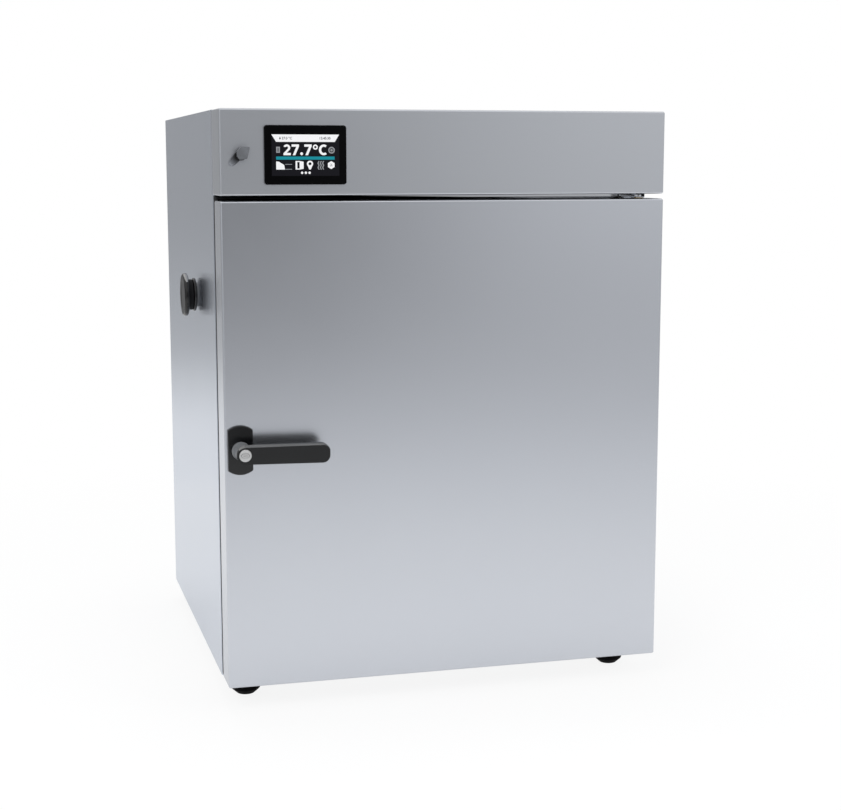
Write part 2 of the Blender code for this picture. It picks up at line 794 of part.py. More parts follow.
def build_probe_and_lamp(root, baffle):
    place_of_probe = (PROBE_SIDE, LINER_BACK - GAP, CHAMBER_MIDDLE + PROBE_UP)
    length = PLENUM_DEPTH - GAP + PROBE_REACH
    rod("temperature_probe", PROBE_RADIUS, length, place_of_probe, "-Y", root, BRIGHT_STEEL)
    cut(rod("probe_hole", PROBE_RADIUS + GAP, length, place_of_probe, "-Y", root), baffle)
    profile = [
        (0, 0),
        (LAMP_RADIUS, 0),
        (LAMP_RADIUS, LAMP_DEPTH / 2),
        (LAMP_RADIUS / 2, LAMP_DEPTH),
        (0, LAMP_DEPTH),
    ]
    at = (0, LINER_FRONT + LAMP_BACK, CHAMBER_CEILING - GAP)
    turned("chamber_lamp", profile, at, "-Z", root, LAMP_LENS)


# Fan, heater and cooling set


def build_fan(root, fan_pivot):
    at = (0, FAN_Y, CHAMBER_MIDDLE)
    wheel = prism(
        "fan_wheel",
        blade_wheel(FAN_HUB_RADIUS, FAN_RADIUS, FAN_BLADES, FAN_BLADE_THICKNESS),
        "Y",
        FAN_DEPTH,
        at,
        fan_pivot,
        BLACK_PLASTIC,
    )
    plate = rod("fan_plate", FAN_RADIUS, FAN_PLATE, at, "+Y", fan_pivot, steps=ROUND_STEPS)
    combine(wheel, plate, "UNION")
    motor_front = BACK_SLAB_REAR + GAP
    shaft_front = FAN_Y + FAN_DEPTH / 2
    shaft_length = motor_front + SHAFT_IN_MOTOR - shaft_front
    shaft = rod("fan_shaft", SHAFT_RADIUS, shaft_length, (0, shaft_front, CHAMBER_MIDDLE), "+Y", fan_pivot)
    combine(wheel, shaft, "UNION")
    bore = SHAFT_RADIUS + SHAFT_CLEAR
    profile = [
        (bore, 0),
        (MOTOR_RADIUS, 0),
        (MOTOR_RADIUS, MOTOR_DEPTH),
        (MOTOR_BOSS_RADIUS, MOTOR_DEPTH),
        (MOTOR_BOSS_RADIUS, MOTOR_DEPTH + MOTOR_BOSS),
        (0, MOTOR_DEPTH + MOTOR_BOSS),
        (0, SHAFT_IN_MOTOR + SHAFT_CLEAR),
        (bore, SHAFT_IN_MOTOR + SHAFT_CLEAR),
    ]
    turned("fan_motor", profile, (0, motor_front, CHAMBER_MIDDLE), "+Y", root, GREY_PLASTIC, closed=True)
    wall = BACK_SLAB_REAR - LINER_BACK + 2 * SHEET
    way = rod("shaft_way", bore, wall, (0, LINER_BACK - SHEET, CHAMBER_MIDDLE), "+Y", root)
    cut(way, bpy.data.objects["chamber_liner"], bpy.data.objects["insulation_back"])


def heater_route():
    """One turn round the fan in the XZ plane, with both ends bent back to the rear wall of the liner."""
    plane = BAFFLE_FRONT + SHEET + HEATER_FROM_BAFFLE
    rear = LINER_BACK - GAP - plane
    start = -math.pi / 2 + HEATER_GAP_ANGLE / 2
    sweep = math.tau - HEATER_GAP_ANGLE
    ring = []
    for i in range(HEATER_STEPS + 1):
        turn = start + sweep * i / HEATER_STEPS
        ring.append(Vector((HEATER_RADIUS * math.cos(turn), 0, HEATER_RADIUS * math.sin(turn))))

    def leg(foot, heading):
        bend = []
        for i in range(1, HEATER_BEND_STEPS + 1):
            turn = math.pi / 2 * i / HEATER_BEND_STEPS
            out, back = HEATER_BEND * math.sin(turn), HEATER_BEND * (1 - math.cos(turn))
            bend.append(foot + heading * out + Vector((0, back, 0)))
        end = bend[-1].copy()
        end.y = rear
        return bend + [end]

    first = leg(ring[0], (ring[0] - ring[1]).normalized())
    last = leg(ring[-1], (ring[-1] - ring[-2]).normalized())
    return plane, first[::-1] + ring + last


def build_heater(root):
    plane, route = heater_route()
    curve = bpy.data.curves.new("heater_ring", "CURVE")
    curve.dimensions = "3D"
    curve.bevel_depth = HEATER_TUBE
    curve.bevel_resolution = 1
    curve.use_fill_caps = True
    spline = curve.splines.new("POLY")
    spline.points.add(len(route) - 1)
    for point, spot in zip(spline.points, route):
        point.co = (*spot, 1)
    place(bpy.data.objects.new("heater_ring", curve), (0, plane, CHAMBER_MIDDLE), root, BRIGHT_STEEL)


def build_cooling_set(root, rotor_pivot):
    cold = comb(COLD_SINK_WIDTH, COLD_SINK_BASE, COLD_SINK_FINS, SINK_FIN_COUNT, SINK_FIN_SHEET)
    fins = prism(
        "cold_fins",
        [(x, -depth) for x, depth in cold],
        "Z",
        COLD_SINK_HEIGHT,
        (0, LINER_BACK - GAP, COOLER_Z - COLD_SINK_HEIGHT / 2),
        root,
        ALUMINIUM,
    )
    half_x, half_z = COOLER_BLOCK_WIDTH / 2, COOLER_BLOCK_HEIGHT / 2
    low = Vector((-half_x, LINER_BACK - COLD_SINK_BASE / 2, COOLER_Z - half_z))
    high = Vector((half_x, BACK_SLAB_REAR, COOLER_Z + half_z))
    combine(fins, block("cold_block", low, high, root), "UNION")
    room = Vector((GAP, 2 * SHEET, GAP))
    tool = block("cold_block_room", low - room, high + room, root)
    cut(tool, bpy.data.objects["chamber_liner"], bpy.data.objects["insulation_back"])
    fan_rear = BACK_PANEL_FRONT - GAP
    fan_front = fan_rear - EXHAUST_FAN_DEPTH
    hot_front = BACK_SLAB_REAR + GAP
    hot_depth = fan_front - GAP - hot_front
    hot = comb(HOT_SINK_WIDTH, HOT_SINK_BASE, hot_depth - HOT_SINK_BASE, SINK_FIN_COUNT, SINK_FIN_SHEET)
    at = (0, hot_front, COOLER_Z - HOT_SINK_HEIGHT / 2)
    prism("hot_fins", hot, "Z", HOT_SINK_HEIGHT, at, root, ALUMINIUM)
    build_exhaust_fan(root, rotor_pivot, fan_front, fan_rear)


def build_exhaust_fan(root, rotor_pivot, front, rear):
    half = EXHAUST_FAN_SIZE / 2
    low, high = (-half, front, COOLER_Z - half), (half, rear, COOLER_Z + half)
    frame = block("exhaust_fan_frame", low, high, root, BLACK_PLASTIC)
    depth = EXHAUST_FAN_DEPTH + 2 * SHEET
    at = (0, front - SHEET, COOLER_Z)
    cut(rod("exhaust_duct", EXHAUST_DUCT_RADIUS, depth, at, "+Y", root, steps=ROUND_STEPS), frame)
    strut = rear - EXHAUST_STRUT
    reach = EXHAUST_DUCT_RADIUS + SHEET
    narrow = EXHAUST_STRUT_WIDTH / 2
    for name, width, height in (("across", reach, narrow), ("up", narrow, reach)):
        low, high = (-width, strut, COOLER_Z - height), (width, rear - GAP, COOLER_Z + height)
        combine(frame, block(f"exhaust_strut_{name}", low, high, root), "UNION")
    axle_front = strut - EXHAUST_ROTOR_CLEAR - EXHAUST_ROTOR_DEPTH / 2
    axle_length = strut + EXHAUST_STRUT / 2 - axle_front
    axle = rod("exhaust_axle", EXHAUST_AXLE_RADIUS, axle_length, (0, axle_front, COOLER_Z), "+Y", root)
    combine(frame, axle, "UNION")
    rotor_front = strut - EXHAUST_ROTOR_CLEAR - EXHAUST_ROTOR_DEPTH
    outline = blade_wheel(EXHAUST_HUB_RADIUS, EXHAUST_ROTOR_RADIUS, EXHAUST_BLADES, FAN_BLADE_THICKNESS)
    at = (0, rotor_front, COOLER_Z)
    rotor = prism("exhaust_rotor", outline, "Y", EXHAUST_ROTOR_DEPTH, at, rotor_pivot, BLACK_PLASTIC)
    bore_depth = strut - axle_front + SHEET
    at = (0, axle_front - SHEET, COOLER_Z)
    cut(rod("exhaust_bore", EXHAUST_AXLE_RADIUS + GAP, bore_depth, at, "+Y", rotor_pivot), rotor)


# Head compartment and back panel


def build_electrics(root):
    base = FRAME_TOP + GAP
    front = CASE_FRONT + ELECTRICS_BACK
    width, depth, height = SUPPLY_SIZE
    low = (ELECTRICS_SPACING / 2, front, base)
    block("power_supply", low, (low[0] + width, low[1] + depth, base + height), root, ALUMINIUM, edge=BEND)
    width, depth, height = CONTROLLER_SIZE
    high = (-ELECTRICS_SPACING / 2, front + depth, base + height)
    block("controller", (high[0] - width, front, base), high, root, GREY_PLASTIC, edge=BEND)


def build_display(root):
    fascia = bpy.data.objects["fascia"]
    x = -HALF_WIDTH + DISPLAY_FROM_SIDE + DISPLAY_WIDTH / 2
    z = FASCIA_BOTTOM + DISPLAY_UP + DISPLAY_HEIGHT / 2
    glass = rounded_rectangle(DISPLAY_WIDTH, DISPLAY_HEIGHT, DISPLAY_CORNER)
    prism("display_glass", glass, "Y", DISPLAY_GLASS, (x, -GAP - DISPLAY_GLASS, z), root, BLACK_GLASS)
    half_x, half_z = SCREEN_WIDTH / 2, SCREEN_HEIGHT / 2
    low, high = (x - half_x, -SHEET, z - half_z), (x + half_x, 2 * SHEET, z + half_z)
    cut(block("display_window", low, high, root), fascia)
    half_x, half_z = half_x + MODULE_MARGIN, half_z + MODULE_MARGIN
    back = SHEET + GAP
    block(
        "display_module",
        (x - half_x, back, z - half_z),
        (x + half_x, back + MODULE_DEPTH, z + half_z),
        root,
        GREY_PLASTIC,
    )


def build_mains(root, rocker_pivot):
    """The mains inlet and the rocker switch on the back panel."""
    panel = bpy.data.objects["back_panel"]
    back = BACK_PANEL_REAR + GAP
    half_x, half_z = INLET_FLANGE_WIDTH / 2, INLET_FLANGE_HEIGHT / 2
    x, z = INLET_X, INLET_Z
    low, high = (x - half_x, back, z - half_z), (x + half_x, back + INLET_FLANGE, z + half_z)
    inlet = block("mains_inlet", low, high, root, BLACK_PLASTIC)
    half_x, half_z = INLET_BODY_WIDTH / 2, INLET_BODY_HEIGHT / 2
    body_front = back - INLET_BODY_DEPTH
    low, high = (x - half_x, body_front, z - half_z), (x + half_x, back + SHEET, z + half_z)
    combine(inlet, block("inlet_body", low, high, root), "UNION")
    room = block(
        "inlet_body_room",
        (x - half_x - GAP, body_front, z - half_z - GAP),
        (x + half_x + GAP, back, z + half_z + GAP),
        root,
    )
    cut(room, panel)
    socket_x, socket_z = half_x - INLET_WALL, half_z - INLET_WALL
    floor = body_front + INLET_FLOOR
    socket = block(
        "inlet_socket",
        (x - socket_x, floor, z - socket_z),
        (x + socket_x, back + INLET_FLANGE + SHEET, z + socket_z),
        root,
    )
    cut(socket, inlet)
    for k, step in ((-1, -1), (0, 1), (1, -1)):
        pin_x, pin_z = x + k * INLET_PIN_SPACING, z + step * INLET_PIN_STEP / 2
        half_x, half_z = INLET_PIN_WIDTH / 2, INLET_PIN_HEIGHT / 2
        pin = block(
            f"inlet_pin_{k + 1}",
            (pin_x - half_x, floor - SHEET, pin_z - half_z),
            (pin_x + half_x, floor + INLET_PIN_LENGTH, pin_z + half_z),
            root,
        )
        combine(inlet, pin, "UNION")
    build_switch(root, rocker_pivot, panel, back)


def build_switch(root, rocker_pivot, panel, back):
    x, z = SWITCH_X, INLET_Z
    half_x, half_z = SWITCH_WIDTH / 2, SWITCH_HEIGHT / 2
    low, high = (x - half_x, back, z - half_z), (x + half_x, back + SWITCH_FLANGE, z + half_z)
    body = block("switch_body", low, high, root, BLACK_PLASTIC)
    half_x, half_z = half_x - SWITCH_LEDGE, half_z - SWITCH_LEDGE
    front = back - SWITCH_BODY_DEPTH
    low, high = (x - half_x, front, z - half_z), (x + half_x, back + SHEET, z + half_z)
    combine(body, block("switch_case", low, high, root), "UNION")
    low, high = (x - half_x - GAP, front, z - half_z - GAP), (x + half_x + GAP, back, z + half_z + GAP)
    cut(block("switch_room", low, high, root), panel)
    half_x, half_z = half_x - SWITCH_WALL, half_z - SWITCH_WALL
    well = block(
        "switch_well",
        (x - half_x, front + SWITCH_WALL, z - half_z),
        (x + half_x, back + SWITCH_FLANGE + SHEET, z + half_z),
        root,
    )
    cut(well, body)
    build_rocker(rocker_pivot, half_x - ROCKER_CLEAR, half_z - ROCKER_CLEAR)


def build_rocker(pivot, half_x, half_z):
    """A rocker with two faces at an angle. At rest its lower half is pressed in."""
    proud = ROCKER_PROUD
    inner = -ROCKER_DEPTH
    dip = half_z * math.tan(ROCKER_TILT)
    narrow = half_z - ROCKER_DEPTH * math.tan(ROCKER_TILT)
    flat = [(proud, 0), (proud - dip, half_z), (inner, narrow), (inner, -narrow), (proud - dip, -half_z)]
    turn = ROCKER_TILT
    outline = [
        (y * math.cos(turn) - z * math.sin(turn), y * math.sin(turn) + z * math.cos(turn)) for y, z in flat
    ]
    at = casing_place(pivot) - Vector((half_x, 0, 0))
    prism("switch_rocker", outline, "X", 2 * half_x, at, pivot, BLACK_PLASTIC)


def build_grille_and_stops(root):
    panel = bpy.data.objects["back_panel"]
    half = EXHAUST_DUCT_RADIUS - GRILLE_MARGIN
    pitch = 2 * half / (GRILLE_SLOTS - 1)
    spans = []
    for k in range(GRILLE_SLOTS):
        z = -half + k * pitch
        reach = math.sqrt(EXHAUST_DUCT_RADIUS**2 - z**2) - GRILLE_SLOT_WIDTH / 2
        near = (-reach, BACK_PANEL_FRONT - SHEET, COOLER_Z + z - GRILLE_SLOT_WIDTH / 2)
        far = (reach, BACK_PANEL_REAR + SHEET, COOLER_Z + z + GRILLE_SLOT_WIDTH / 2)
        spans.append((near, far))
    cut(many_blocks("grille_slots", spans, root), panel)
    profile = [
        (0, 0),
        (WALL_STOP_RADIUS, 0),
        (WALL_STOP_RADIUS, WALL_STOP_DEPTH - WALL_STOP_EDGE),
        (WALL_STOP_RADIUS - WALL_STOP_EDGE, WALL_STOP_DEPTH),
        (0, WALL_STOP_DEPTH),
    ]
    across = HALF_WIDTH - WALL_STOP_FROM_SIDE
    z = CASE_TOP - WALL_STOP_FROM_TOP
    for side, x in (("left", -across), ("right", across)):
        at = (x, BACK_PANEL_REAR + GAP, z)
        turned(f"wall_stop_{side}", profile, at, "+Y", root, BLACK_RUBBER, steps=SMALL_ROUND_STEPS)


# Vent and access port


def build_vent(root, vent_pivot):
    rod_front = -VENT_HUB_DEPTH
    box_front = BACK_SLAB_REAR + GAP
    box_rear = INSIDE_BACK - SHEET - GAP
    shutter_rear = box_rear - GAP
    pipe_x = -HALF_CHAMBER + VENT_PIPE_FROM_WALL
    pipe_z = CHAMBER_CEILING - VENT_PIPE_FROM_CEILING
    shutter_top = VENT_Z + SHUTTER_REACH * math.sin(-SHUTTER_REST) + SHUTTER_RADIUS
    box = folded_sheet(
        "vent_box",
        (-HALF_FILLED, box_front, pipe_z - VENT_PIPE_RADIUS - VENT_BOX_MARGIN),
        (pipe_x + VENT_PIPE_RADIUS + VENT_BOX_MARGIN, box_rear, shutter_top + VENT_BOX_MARGIN),
        ("left", "right", "front", "bottom", "top"),
        SHEET,
        BEND,
        root,
        GALVANISED,
    )
    pipe_length = BACK_SLAB_REAR + GAP + SHEET - LINER_BACK
    tube(
        "vent_pipe",
        VENT_PIPE_RADIUS - VENT_PIPE_WALL,
        VENT_PIPE_RADIUS,
        pipe_length,
        (pipe_x, LINER_BACK, pipe_z),
        "+Y",
        root,
        BRIGHT_STEEL,
        steps=SMALL_ROUND_STEPS,
    )
    at = (pipe_x, LINER_BACK - SHEET, pipe_z)
    room = rod("vent_pipe_room", VENT_PIPE_RADIUS + GAP, pipe_length + 2 * SHEET, at, "+Y", root)
    cut(room, bpy.data.objects["chamber_liner"], bpy.data.objects["insulation_back"], box)
    bore = VENT_ROD_RADIUS + GAP
    way = rod("vent_rod_way", bore, box_front + 3 * SHEET, (VENT_X, -SHEET, VENT_Z), "+Y", root)
    cut(way, bpy.data.objects["fascia"], box)
    shutter_front = shutter_rear - SHUTTER_THICKNESS
    at = (VENT_X, rod_front, VENT_Z)
    rod("vent_rod", VENT_ROD_RADIUS, shutter_rear - rod_front, at, "+Y", vent_pivot, BRIGHT_STEEL)
    shutter = prism(
        "vent_shutter",
        paddle(SHUTTER_HUB_RADIUS, SHUTTER_RADIUS, SHUTTER_REACH, SHUTTER_REST),
        "Y",
        SHUTTER_THICKNESS,
        (VENT_X, shutter_front, VENT_Z),
        vent_pivot,
        BRIGHT_STEEL,
    )
    at = (VENT_X, shutter_front - SHEET, VENT_Z)
    cut(rod("shutter_bore", bore, SHUTTER_THICKNESS + 2 * SHEET, at, "+Y", vent_pivot), shutter)
    build_vent_lever(vent_pivot, bore)
    outlet_x = VENT_X + SHUTTER_REACH * math.cos(SHUTTER_REST)
    outlet_z = VENT_Z + SHUTTER_REACH * math.sin(SHUTTER_REST)
    at = (outlet_x, BACK_PANEL_FRONT - SHEET, outlet_z)
    cut(rod("outlet_hole", OUTLET_RADIUS, 3 * SHEET, at, "+Y", root), bpy.data.objects["back_panel"])


def build_vent_lever(pivot, bore):
    """A small slanted tab on a round hub, pushed on the front end of the vent rod."""
    hub_front = -GAP - VENT_HUB_DEPTH
    tab_front = hub_front - VENT_TAB_DEPTH + SHEET
    left = low = -VENT_HUB_RADIUS - VENT_TAB_EDGE
    right, high = left + VENT_TAB_WIDTH, low + VENT_TAB_HEIGHT
    corner = VENT_TAB_CORNER
    outline = [
        (left + corner, low),
        (right - VENT_TAB_SLANT, low),
        (right, high),
        (left + corner, high),
        (left, high - corner),
        (left, low + corner),
    ]
    at = (VENT_X, tab_front, VENT_Z)
    lever = prism("vent_lever", outline, "Y", VENT_TAB_DEPTH, at, pivot, GREY_PLASTIC, edge=VENT_TAB_EDGE)
    hub = rod("vent_lever_hub", VENT_HUB_RADIUS, VENT_HUB_DEPTH, (VENT_X, hub_front, VENT_Z), "+Y", pivot)
    combine(lever, hub, "UNION")
    cut(rod("vent_lever_bore", bore, VENT_HUB_DEPTH + GAP, (VENT_X, hub_front, VENT_Z), "+Y", pivot), lever)


def build_port(root, plug_pivot):
    collar_face = -HALF_WIDTH - GAP - COLLAR_DEPTH
    outer = PORT_BORE_RADIUS + PORT_WALL
    length = -HALF_CHAMBER - collar_face
    profile = [
        (PORT_BORE_RADIUS, 0),
        (COLLAR_RADIUS, 0),
        (COLLAR_RADIUS, COLLAR_DEPTH),
        (outer, COLLAR_DEPTH),
        (outer, length),
        (PORT_BORE_RADIUS, length),
    ]
    turned("port_sleeve", profile, (collar_face, PORT_Y, PORT_Z), "+X", root, BLACK_PLASTIC, closed=True)
    at = (-HALF_WIDTH - SHEET, PORT_Y, PORT_Z)
    way = rod("port_way", outer + GAP, SIDE_WALL + 2 * SHEET, at, "+X", root, steps=ROUND_STEPS)
    cut(way, *[bpy.data.objects[name] for name in ("side_panel_left", "insulation_left", "chamber_liner")])
    stem = PORT_BORE_RADIUS - GAP
    profile = [
        (0, -PLUG_STEM),
        (stem, -PLUG_STEM),
        (stem, 0),
        (PLUG_NECK_RADIUS, 0),
        (PLUG_NECK_RADIUS, PLUG_NECK),
        (PLUG_CAP_RADIUS - PLUG_CAP_EDGE, PLUG_NECK),
        (PLUG_CAP_RADIUS, PLUG_NECK + PLUG_CAP_EDGE),
        (PLUG_CAP_RADIUS, PLUG_NECK + PLUG_CAP - PLUG_CAP_EDGE),
        (PLUG_CAP_RADIUS - PLUG_CAP_EDGE, PLUG_NECK + PLUG_CAP),
        (0, PLUG_NECK + PLUG_CAP),
    ]
    turned("port_plug", profile, (collar_face - GAP, PORT_Y, PORT_Z), "-X", plug_pivot, BLACK_RUBBER)


# Door, hinge, handle and latch


def build_door(door_pivot):
    skin = folded_sheet(
        "door_skin",
        (-HALF_WIDTH, 0, DOOR_BOTTOM),
        (HALF_WIDTH, DOOR_THICKNESS, DOOR_TOP),
        ("left", "right", "front", "bottom", "top"),
        SHEET,
        BEND,
        door_pivot,
        STAINLESS,
    )
    low, high = DOOR_BOTTOM + SHEET + GAP, DOOR_TOP - SHEET - GAP
    panel_front = DOOR_THICKNESS - SHEET
    panel = prism(
        "door_inner_panel",
        rounded_rectangle(2 * HALF_INSIDE, high - low, BEND),
        "Y",
        SHEET,
        (0, panel_front, (low + high) / 2),
        door_pivot,
        BRIGHT_STEEL,
    )
    filling = block(
        "door_insulation",
        (-HALF_INSIDE, SHEET + GAP, low),
        (HALF_INSIDE, panel_front - GAP, high),
        door_pivot,
        MINERAL_WOOL,
        edge=BEND,
    )
    inner = (
        -HALF_CHAMBER - SEAL_MARGIN,
        CHAMBER_FLOOR - SEAL_MARGIN,
        HALF_CHAMBER + SEAL_MARGIN,
        CHAMBER_CEILING + SEAL_MARGIN,
    )
    outer = (inner[0] - SEAL_WIDTH, inner[1] - SEAL_WIDTH, inner[2] + SEAL_WIDTH, inner[3] + SEAL_WIDTH)
    seal = frame_ring(
        "door_seal", outer, inner, (DOOR_THICKNESS + GAP, CASE_FRONT - GAP), door_pivot, SEAL_RUBBER
    )
    round_edges(seal, SEAL_EDGE)
    return skin, filling, panel


def hinge_outline():
    """The hinge plate seen from above: a round nose on the pin and a tail set clear of the front foot."""
    foot = HALF_WIDTH - FOOT_FROM_SIDE - HINGE_X
    tail_right = foot - FOOT_RADIUS - HINGE_FOOT_CLEAR
    tail_left = tail_right - HINGE_TAIL_WIDTH
    front = CASE_FRONT - HINGE_Y
    back = front + HINGE_TAIL_LENGTH
    nose = arc((0, 0), HINGE_NOSE_RADIUS, 0, -math.pi * 2 / 3, 10)
    shoulder = front - GAP
    tail = [(tail_left, front), (tail_left, back), (tail_right, back), (tail_right, shoulder)]
    return nose + tail + [(HINGE_NOSE_RADIUS, shoulder)]


def build_hinge(root, door_pivot, door_pieces):
    under = CASE_BOTTOM - GAP - HINGE_PLATE
    ends = (("upper", HINGE_PLATE_LOW, "-Z", DOOR_TOP), ("lower", under, "+Z", DOOR_BOTTOM))
    bore = PIN_RADIUS + GAP
    sleeve = bore + BUSH_WALL
    for end, plate_low, lay, door_edge in ends:
        pin_start = plate_low + HINGE_PLATE / 2
        at = (HINGE_X, HINGE_Y, plate_low)
        plate = prism(f"hinge_plate_{end}", hinge_outline(), "Z", HINGE_PLATE, at, root, BRIGHT_STEEL)
        pin_length = abs(door_edge - pin_start) + PIN_DEPTH
        pin = rod(f"hinge_pin_{end}", PIN_RADIUS, pin_length, (HINGE_X, HINGE_Y, pin_start), lay, root)
        combine(plate, pin, "UNION")
        outward = -1 if lay == "+Z" else 1
        flange = sleeve + BUSH_FLANGE_WIDTH
        profile = [
            (bore, -BUSH_FLANGE),
            (flange, -BUSH_FLANGE),
            (flange, 0),
            (sleeve, 0),
            (sleeve, PIN_DEPTH),
            (bore, PIN_DEPTH),
        ]
        seat = (HINGE_X, HINGE_Y, door_edge + outward * GAP)
        bush = f"hinge_bush_{end}"
        turned(bush, profile, seat, lay, door_pivot, BRASS, closed=True, steps=SMALL_ROUND_STEPS)
        room = rod(
            f"hinge_room_{end}",
            sleeve + GAP,
            PIN_DEPTH + 2 * SHEET,
            (HINGE_X, HINGE_Y, door_edge + outward * SHEET),
            lay,
            door_pivot,
        )
        cut(room, *door_pieces)


def plate_outline():
    """The handle plate: straight sides with an arched top and bottom."""
    half, rise = PLATE_WIDTH / 2, PLATE_RISE
    radius = (half**2 + rise**2) / (2 * rise)
    spread = math.asin(half / radius)
    centre = PLATE_HEIGHT / 2 - radius
    top = arc((0, centre), radius, math.pi / 2 - spread, math.pi / 2 + spread, 8)
    bottom = arc((0, -centre), radius, -math.pi / 2 - spread, -math.pi / 2 + spread, 8)
    return top + bottom


def lever_outline():
    """The lever seen from the front: round at its hub, with two round corners at its free end."""
    half = LEVER_HEIGHT / 2
    lean = math.asin(half / LEVER_HUB_RADIUS)
    hub = arc((0, 0), LEVER_HUB_RADIUS, lean, math.tau - lean, 16)
    inner = LEVER_REACH - LEVER_CORNER
    lower = arc((inner, -half + LEVER_CORNER), LEVER_CORNER, -math.pi / 2, 0, 5)
    upper = arc((inner, half - LEVER_CORNER), LEVER_CORNER, 0, math.pi / 2, 5)
    return hub + lower + upper


def build_handle(root, door_pivot, handle_pivot, lock_pivot, door_pieces):
    spindle_way = rod(
        "spindle_way",
        SPINDLE_RADIUS + SPINDLE_CLEAR,
        PLATE_THICKNESS + DOOR_THICKNESS + 4 * SHEET,
        (HANDLE_X, -PLATE_THICKNESS - 2 * SHEET, HANDLE_Z),
        "+Y",
        door_pivot,
    )
    plate_front = -GAP - PLATE_THICKNESS
    plate = prism(
        "handle_plate",
        plate_outline(),
        "Y",
        PLATE_THICKNESS,
        (HANDLE_X, plate_front, HANDLE_Z),
        door_pivot,
        BLACK_PLASTIC,
        edge=PLATE_EDGE,
    )
    cut(spindle_way, plate, *door_pieces)
    lever = prism(
        "handle_lever",
        lever_outline(),
        "Y",
        LEVER_THICKNESS,
        (HANDLE_X, LEVER_FRONT, HANDLE_Z),
        handle_pivot,
        BLACK_PLASTIC,
        edge=LEVER_EDGE,
    )
    hub_back = plate_front - GAP
    hub_length = hub_back - LEVER_BACK + LEVER_THICKNESS / 2
    hub_front = hub_back - hub_length
    at = (HANDLE_X, hub_front, HANDLE_Z)
    hub = rod("lever_hub", LEVER_HUB_RADIUS - LEVER_EDGE, hub_length, at, "+Y", handle_pivot)
    combine(lever, hub, "UNION")
    well = LOCK_DEPTH - LOCK_PROUD + GAP
    at = (HANDLE_X, LEVER_FRONT - SHEET, HANDLE_Z)
    cut(rod("lock_well", LOCK_RADIUS + GAP, well + SHEET, at, "+Y", handle_pivot), lever)
    barrel_front = LEVER_FRONT - LOCK_PROUD
    at = (HANDLE_X, barrel_front, HANDLE_Z)
    barrel = rod("lock_barrel", LOCK_RADIUS, LOCK_DEPTH, at, "+Y", lock_pivot, BRIGHT_STEEL)
    keyway = block(
        "keyway",
        (HANDLE_X - KEYWAY_WIDTH / 2, barrel_front - SHEET, HANDLE_Z - KEYWAY_HEIGHT / 2),
        (HANDLE_X + KEYWAY_WIDTH / 2, barrel_front + KEYWAY_DEPTH, HANDLE_Z + KEYWAY_HEIGHT / 2),
        lock_pivot,
    )
    cut(keyway, barrel)
    cam_front = DOOR_THICKNESS + CAM_BEHIND_DOOR
    cam = prism(
        "latch_cam",
        paddle(CAM_HUB_RADIUS, CAM_TIP_RADIUS, CAM_REACH, 0),
        "Y",
        CAM_THICKNESS,
        (HANDLE_X, cam_front, HANDLE_Z),
        handle_pivot,
        BRIGHT_STEEL,
    )
    spindle_front = hub_back + GAP
    spindle_length = cam_front + CAM_THICKNESS / 2 - spindle_front
    at = (HANDLE_X, spindle_front, HANDLE_Z)
    combine(cam, rod("spindle", SPINDLE_RADIUS, spindle_length, at, "+Y", handle_pivot), "UNION")
    build_keeper(root)


def build_keeper(root):
    """A hooked strike on the front of the casing. The cam turns up behind its lip to hold the door shut."""
    plate_front = SEAL_GAP - GAP - KEEPER_PLATE
    lip_front = KEEPER_LIP_FROM_DOOR
    low = CAM_HUB_RADIUS + KEEPER_SPARE
    web = CAM_REACH + CAM_TIP_RADIUS + KEEPER_SPARE
    high = web + KEEPER_WEB
    back = SEAL_GAP - GAP
    lip_back = lip_front + KEEPER_PLATE
    outline = [
        (lip_front, low),
        (lip_back, low),
        (lip_back, web),
        (plate_front, web),
        (plate_front, low),
        (back, low),
        (back, high),
        (lip_front, high),
    ]
    at = (HANDLE_X - KEEPER_WIDTH / 2, DOOR_THICKNESS, HANDLE_Z)
    prism("latch_keeper", outline, "X", KEEPER_WIDTH, at, root, BRIGHT_STEEL)


def main():
    for thing in list(bpy.data.objects):
        bpy.data.objects.remove(thing)
    root = add_pivot("incubator", ORIGIN_SHIFT)
    door_pivot = add_pivot("door_pivot", (HINGE_X, HINGE_Y, DOOR_BOTTOM), root)
    handle_pivot = add_pivot("handle_pivot", (HANDLE_X, 0, HANDLE_Z), door_pivot)
    lock_pivot = add_pivot("lock_pivot", (HANDLE_X, LEVER_FRONT, HANDLE_Z), handle_pivot)
    vent_pivot = add_pivot("vent_pivot", (VENT_X, 0, VENT_Z), root)
    fan_pivot = add_pivot("fan_pivot", (0, FAN_Y, CHAMBER_MIDDLE), root)
    rotor_pivot = add_pivot("exhaust_pivot", (0, CASE_BACK, COOLER_Z), root)
    plug_pivot = add_pivot("plug_pivot", (-HALF_WIDTH, PORT_Y, PORT_Z), root)
    rocker_pivot = add_pivot("rocker_pivot", (SWITCH_X, BACK_PANEL_REAR + GAP + SWITCH_FLANGE, INLET_Z), root)

    build_casing(root)
    build_feet(root)
    build_insulation(root)
    build_shelves(root)
    baffle = build_baffle(root)
    build_probe_and_lamp(root, baffle)
    build_fan(root, fan_pivot)
    build_heater(root)
    build_cooling_set(root, rotor_pivot)
    build_electrics(root)
    build_display(root)
    build_mains(root, rocker_pivot)
    build_grille_and_stops(root)
    build_vent(root, vent_pivot)
    build_port(root, plug_pivot)
    door_pieces = build_door(door_pivot)
    build_hinge(root, door_pivot, door_pieces)
    build_handle(root, door_pivot, handle_pivot, lock_pivot, door_pieces)


main()
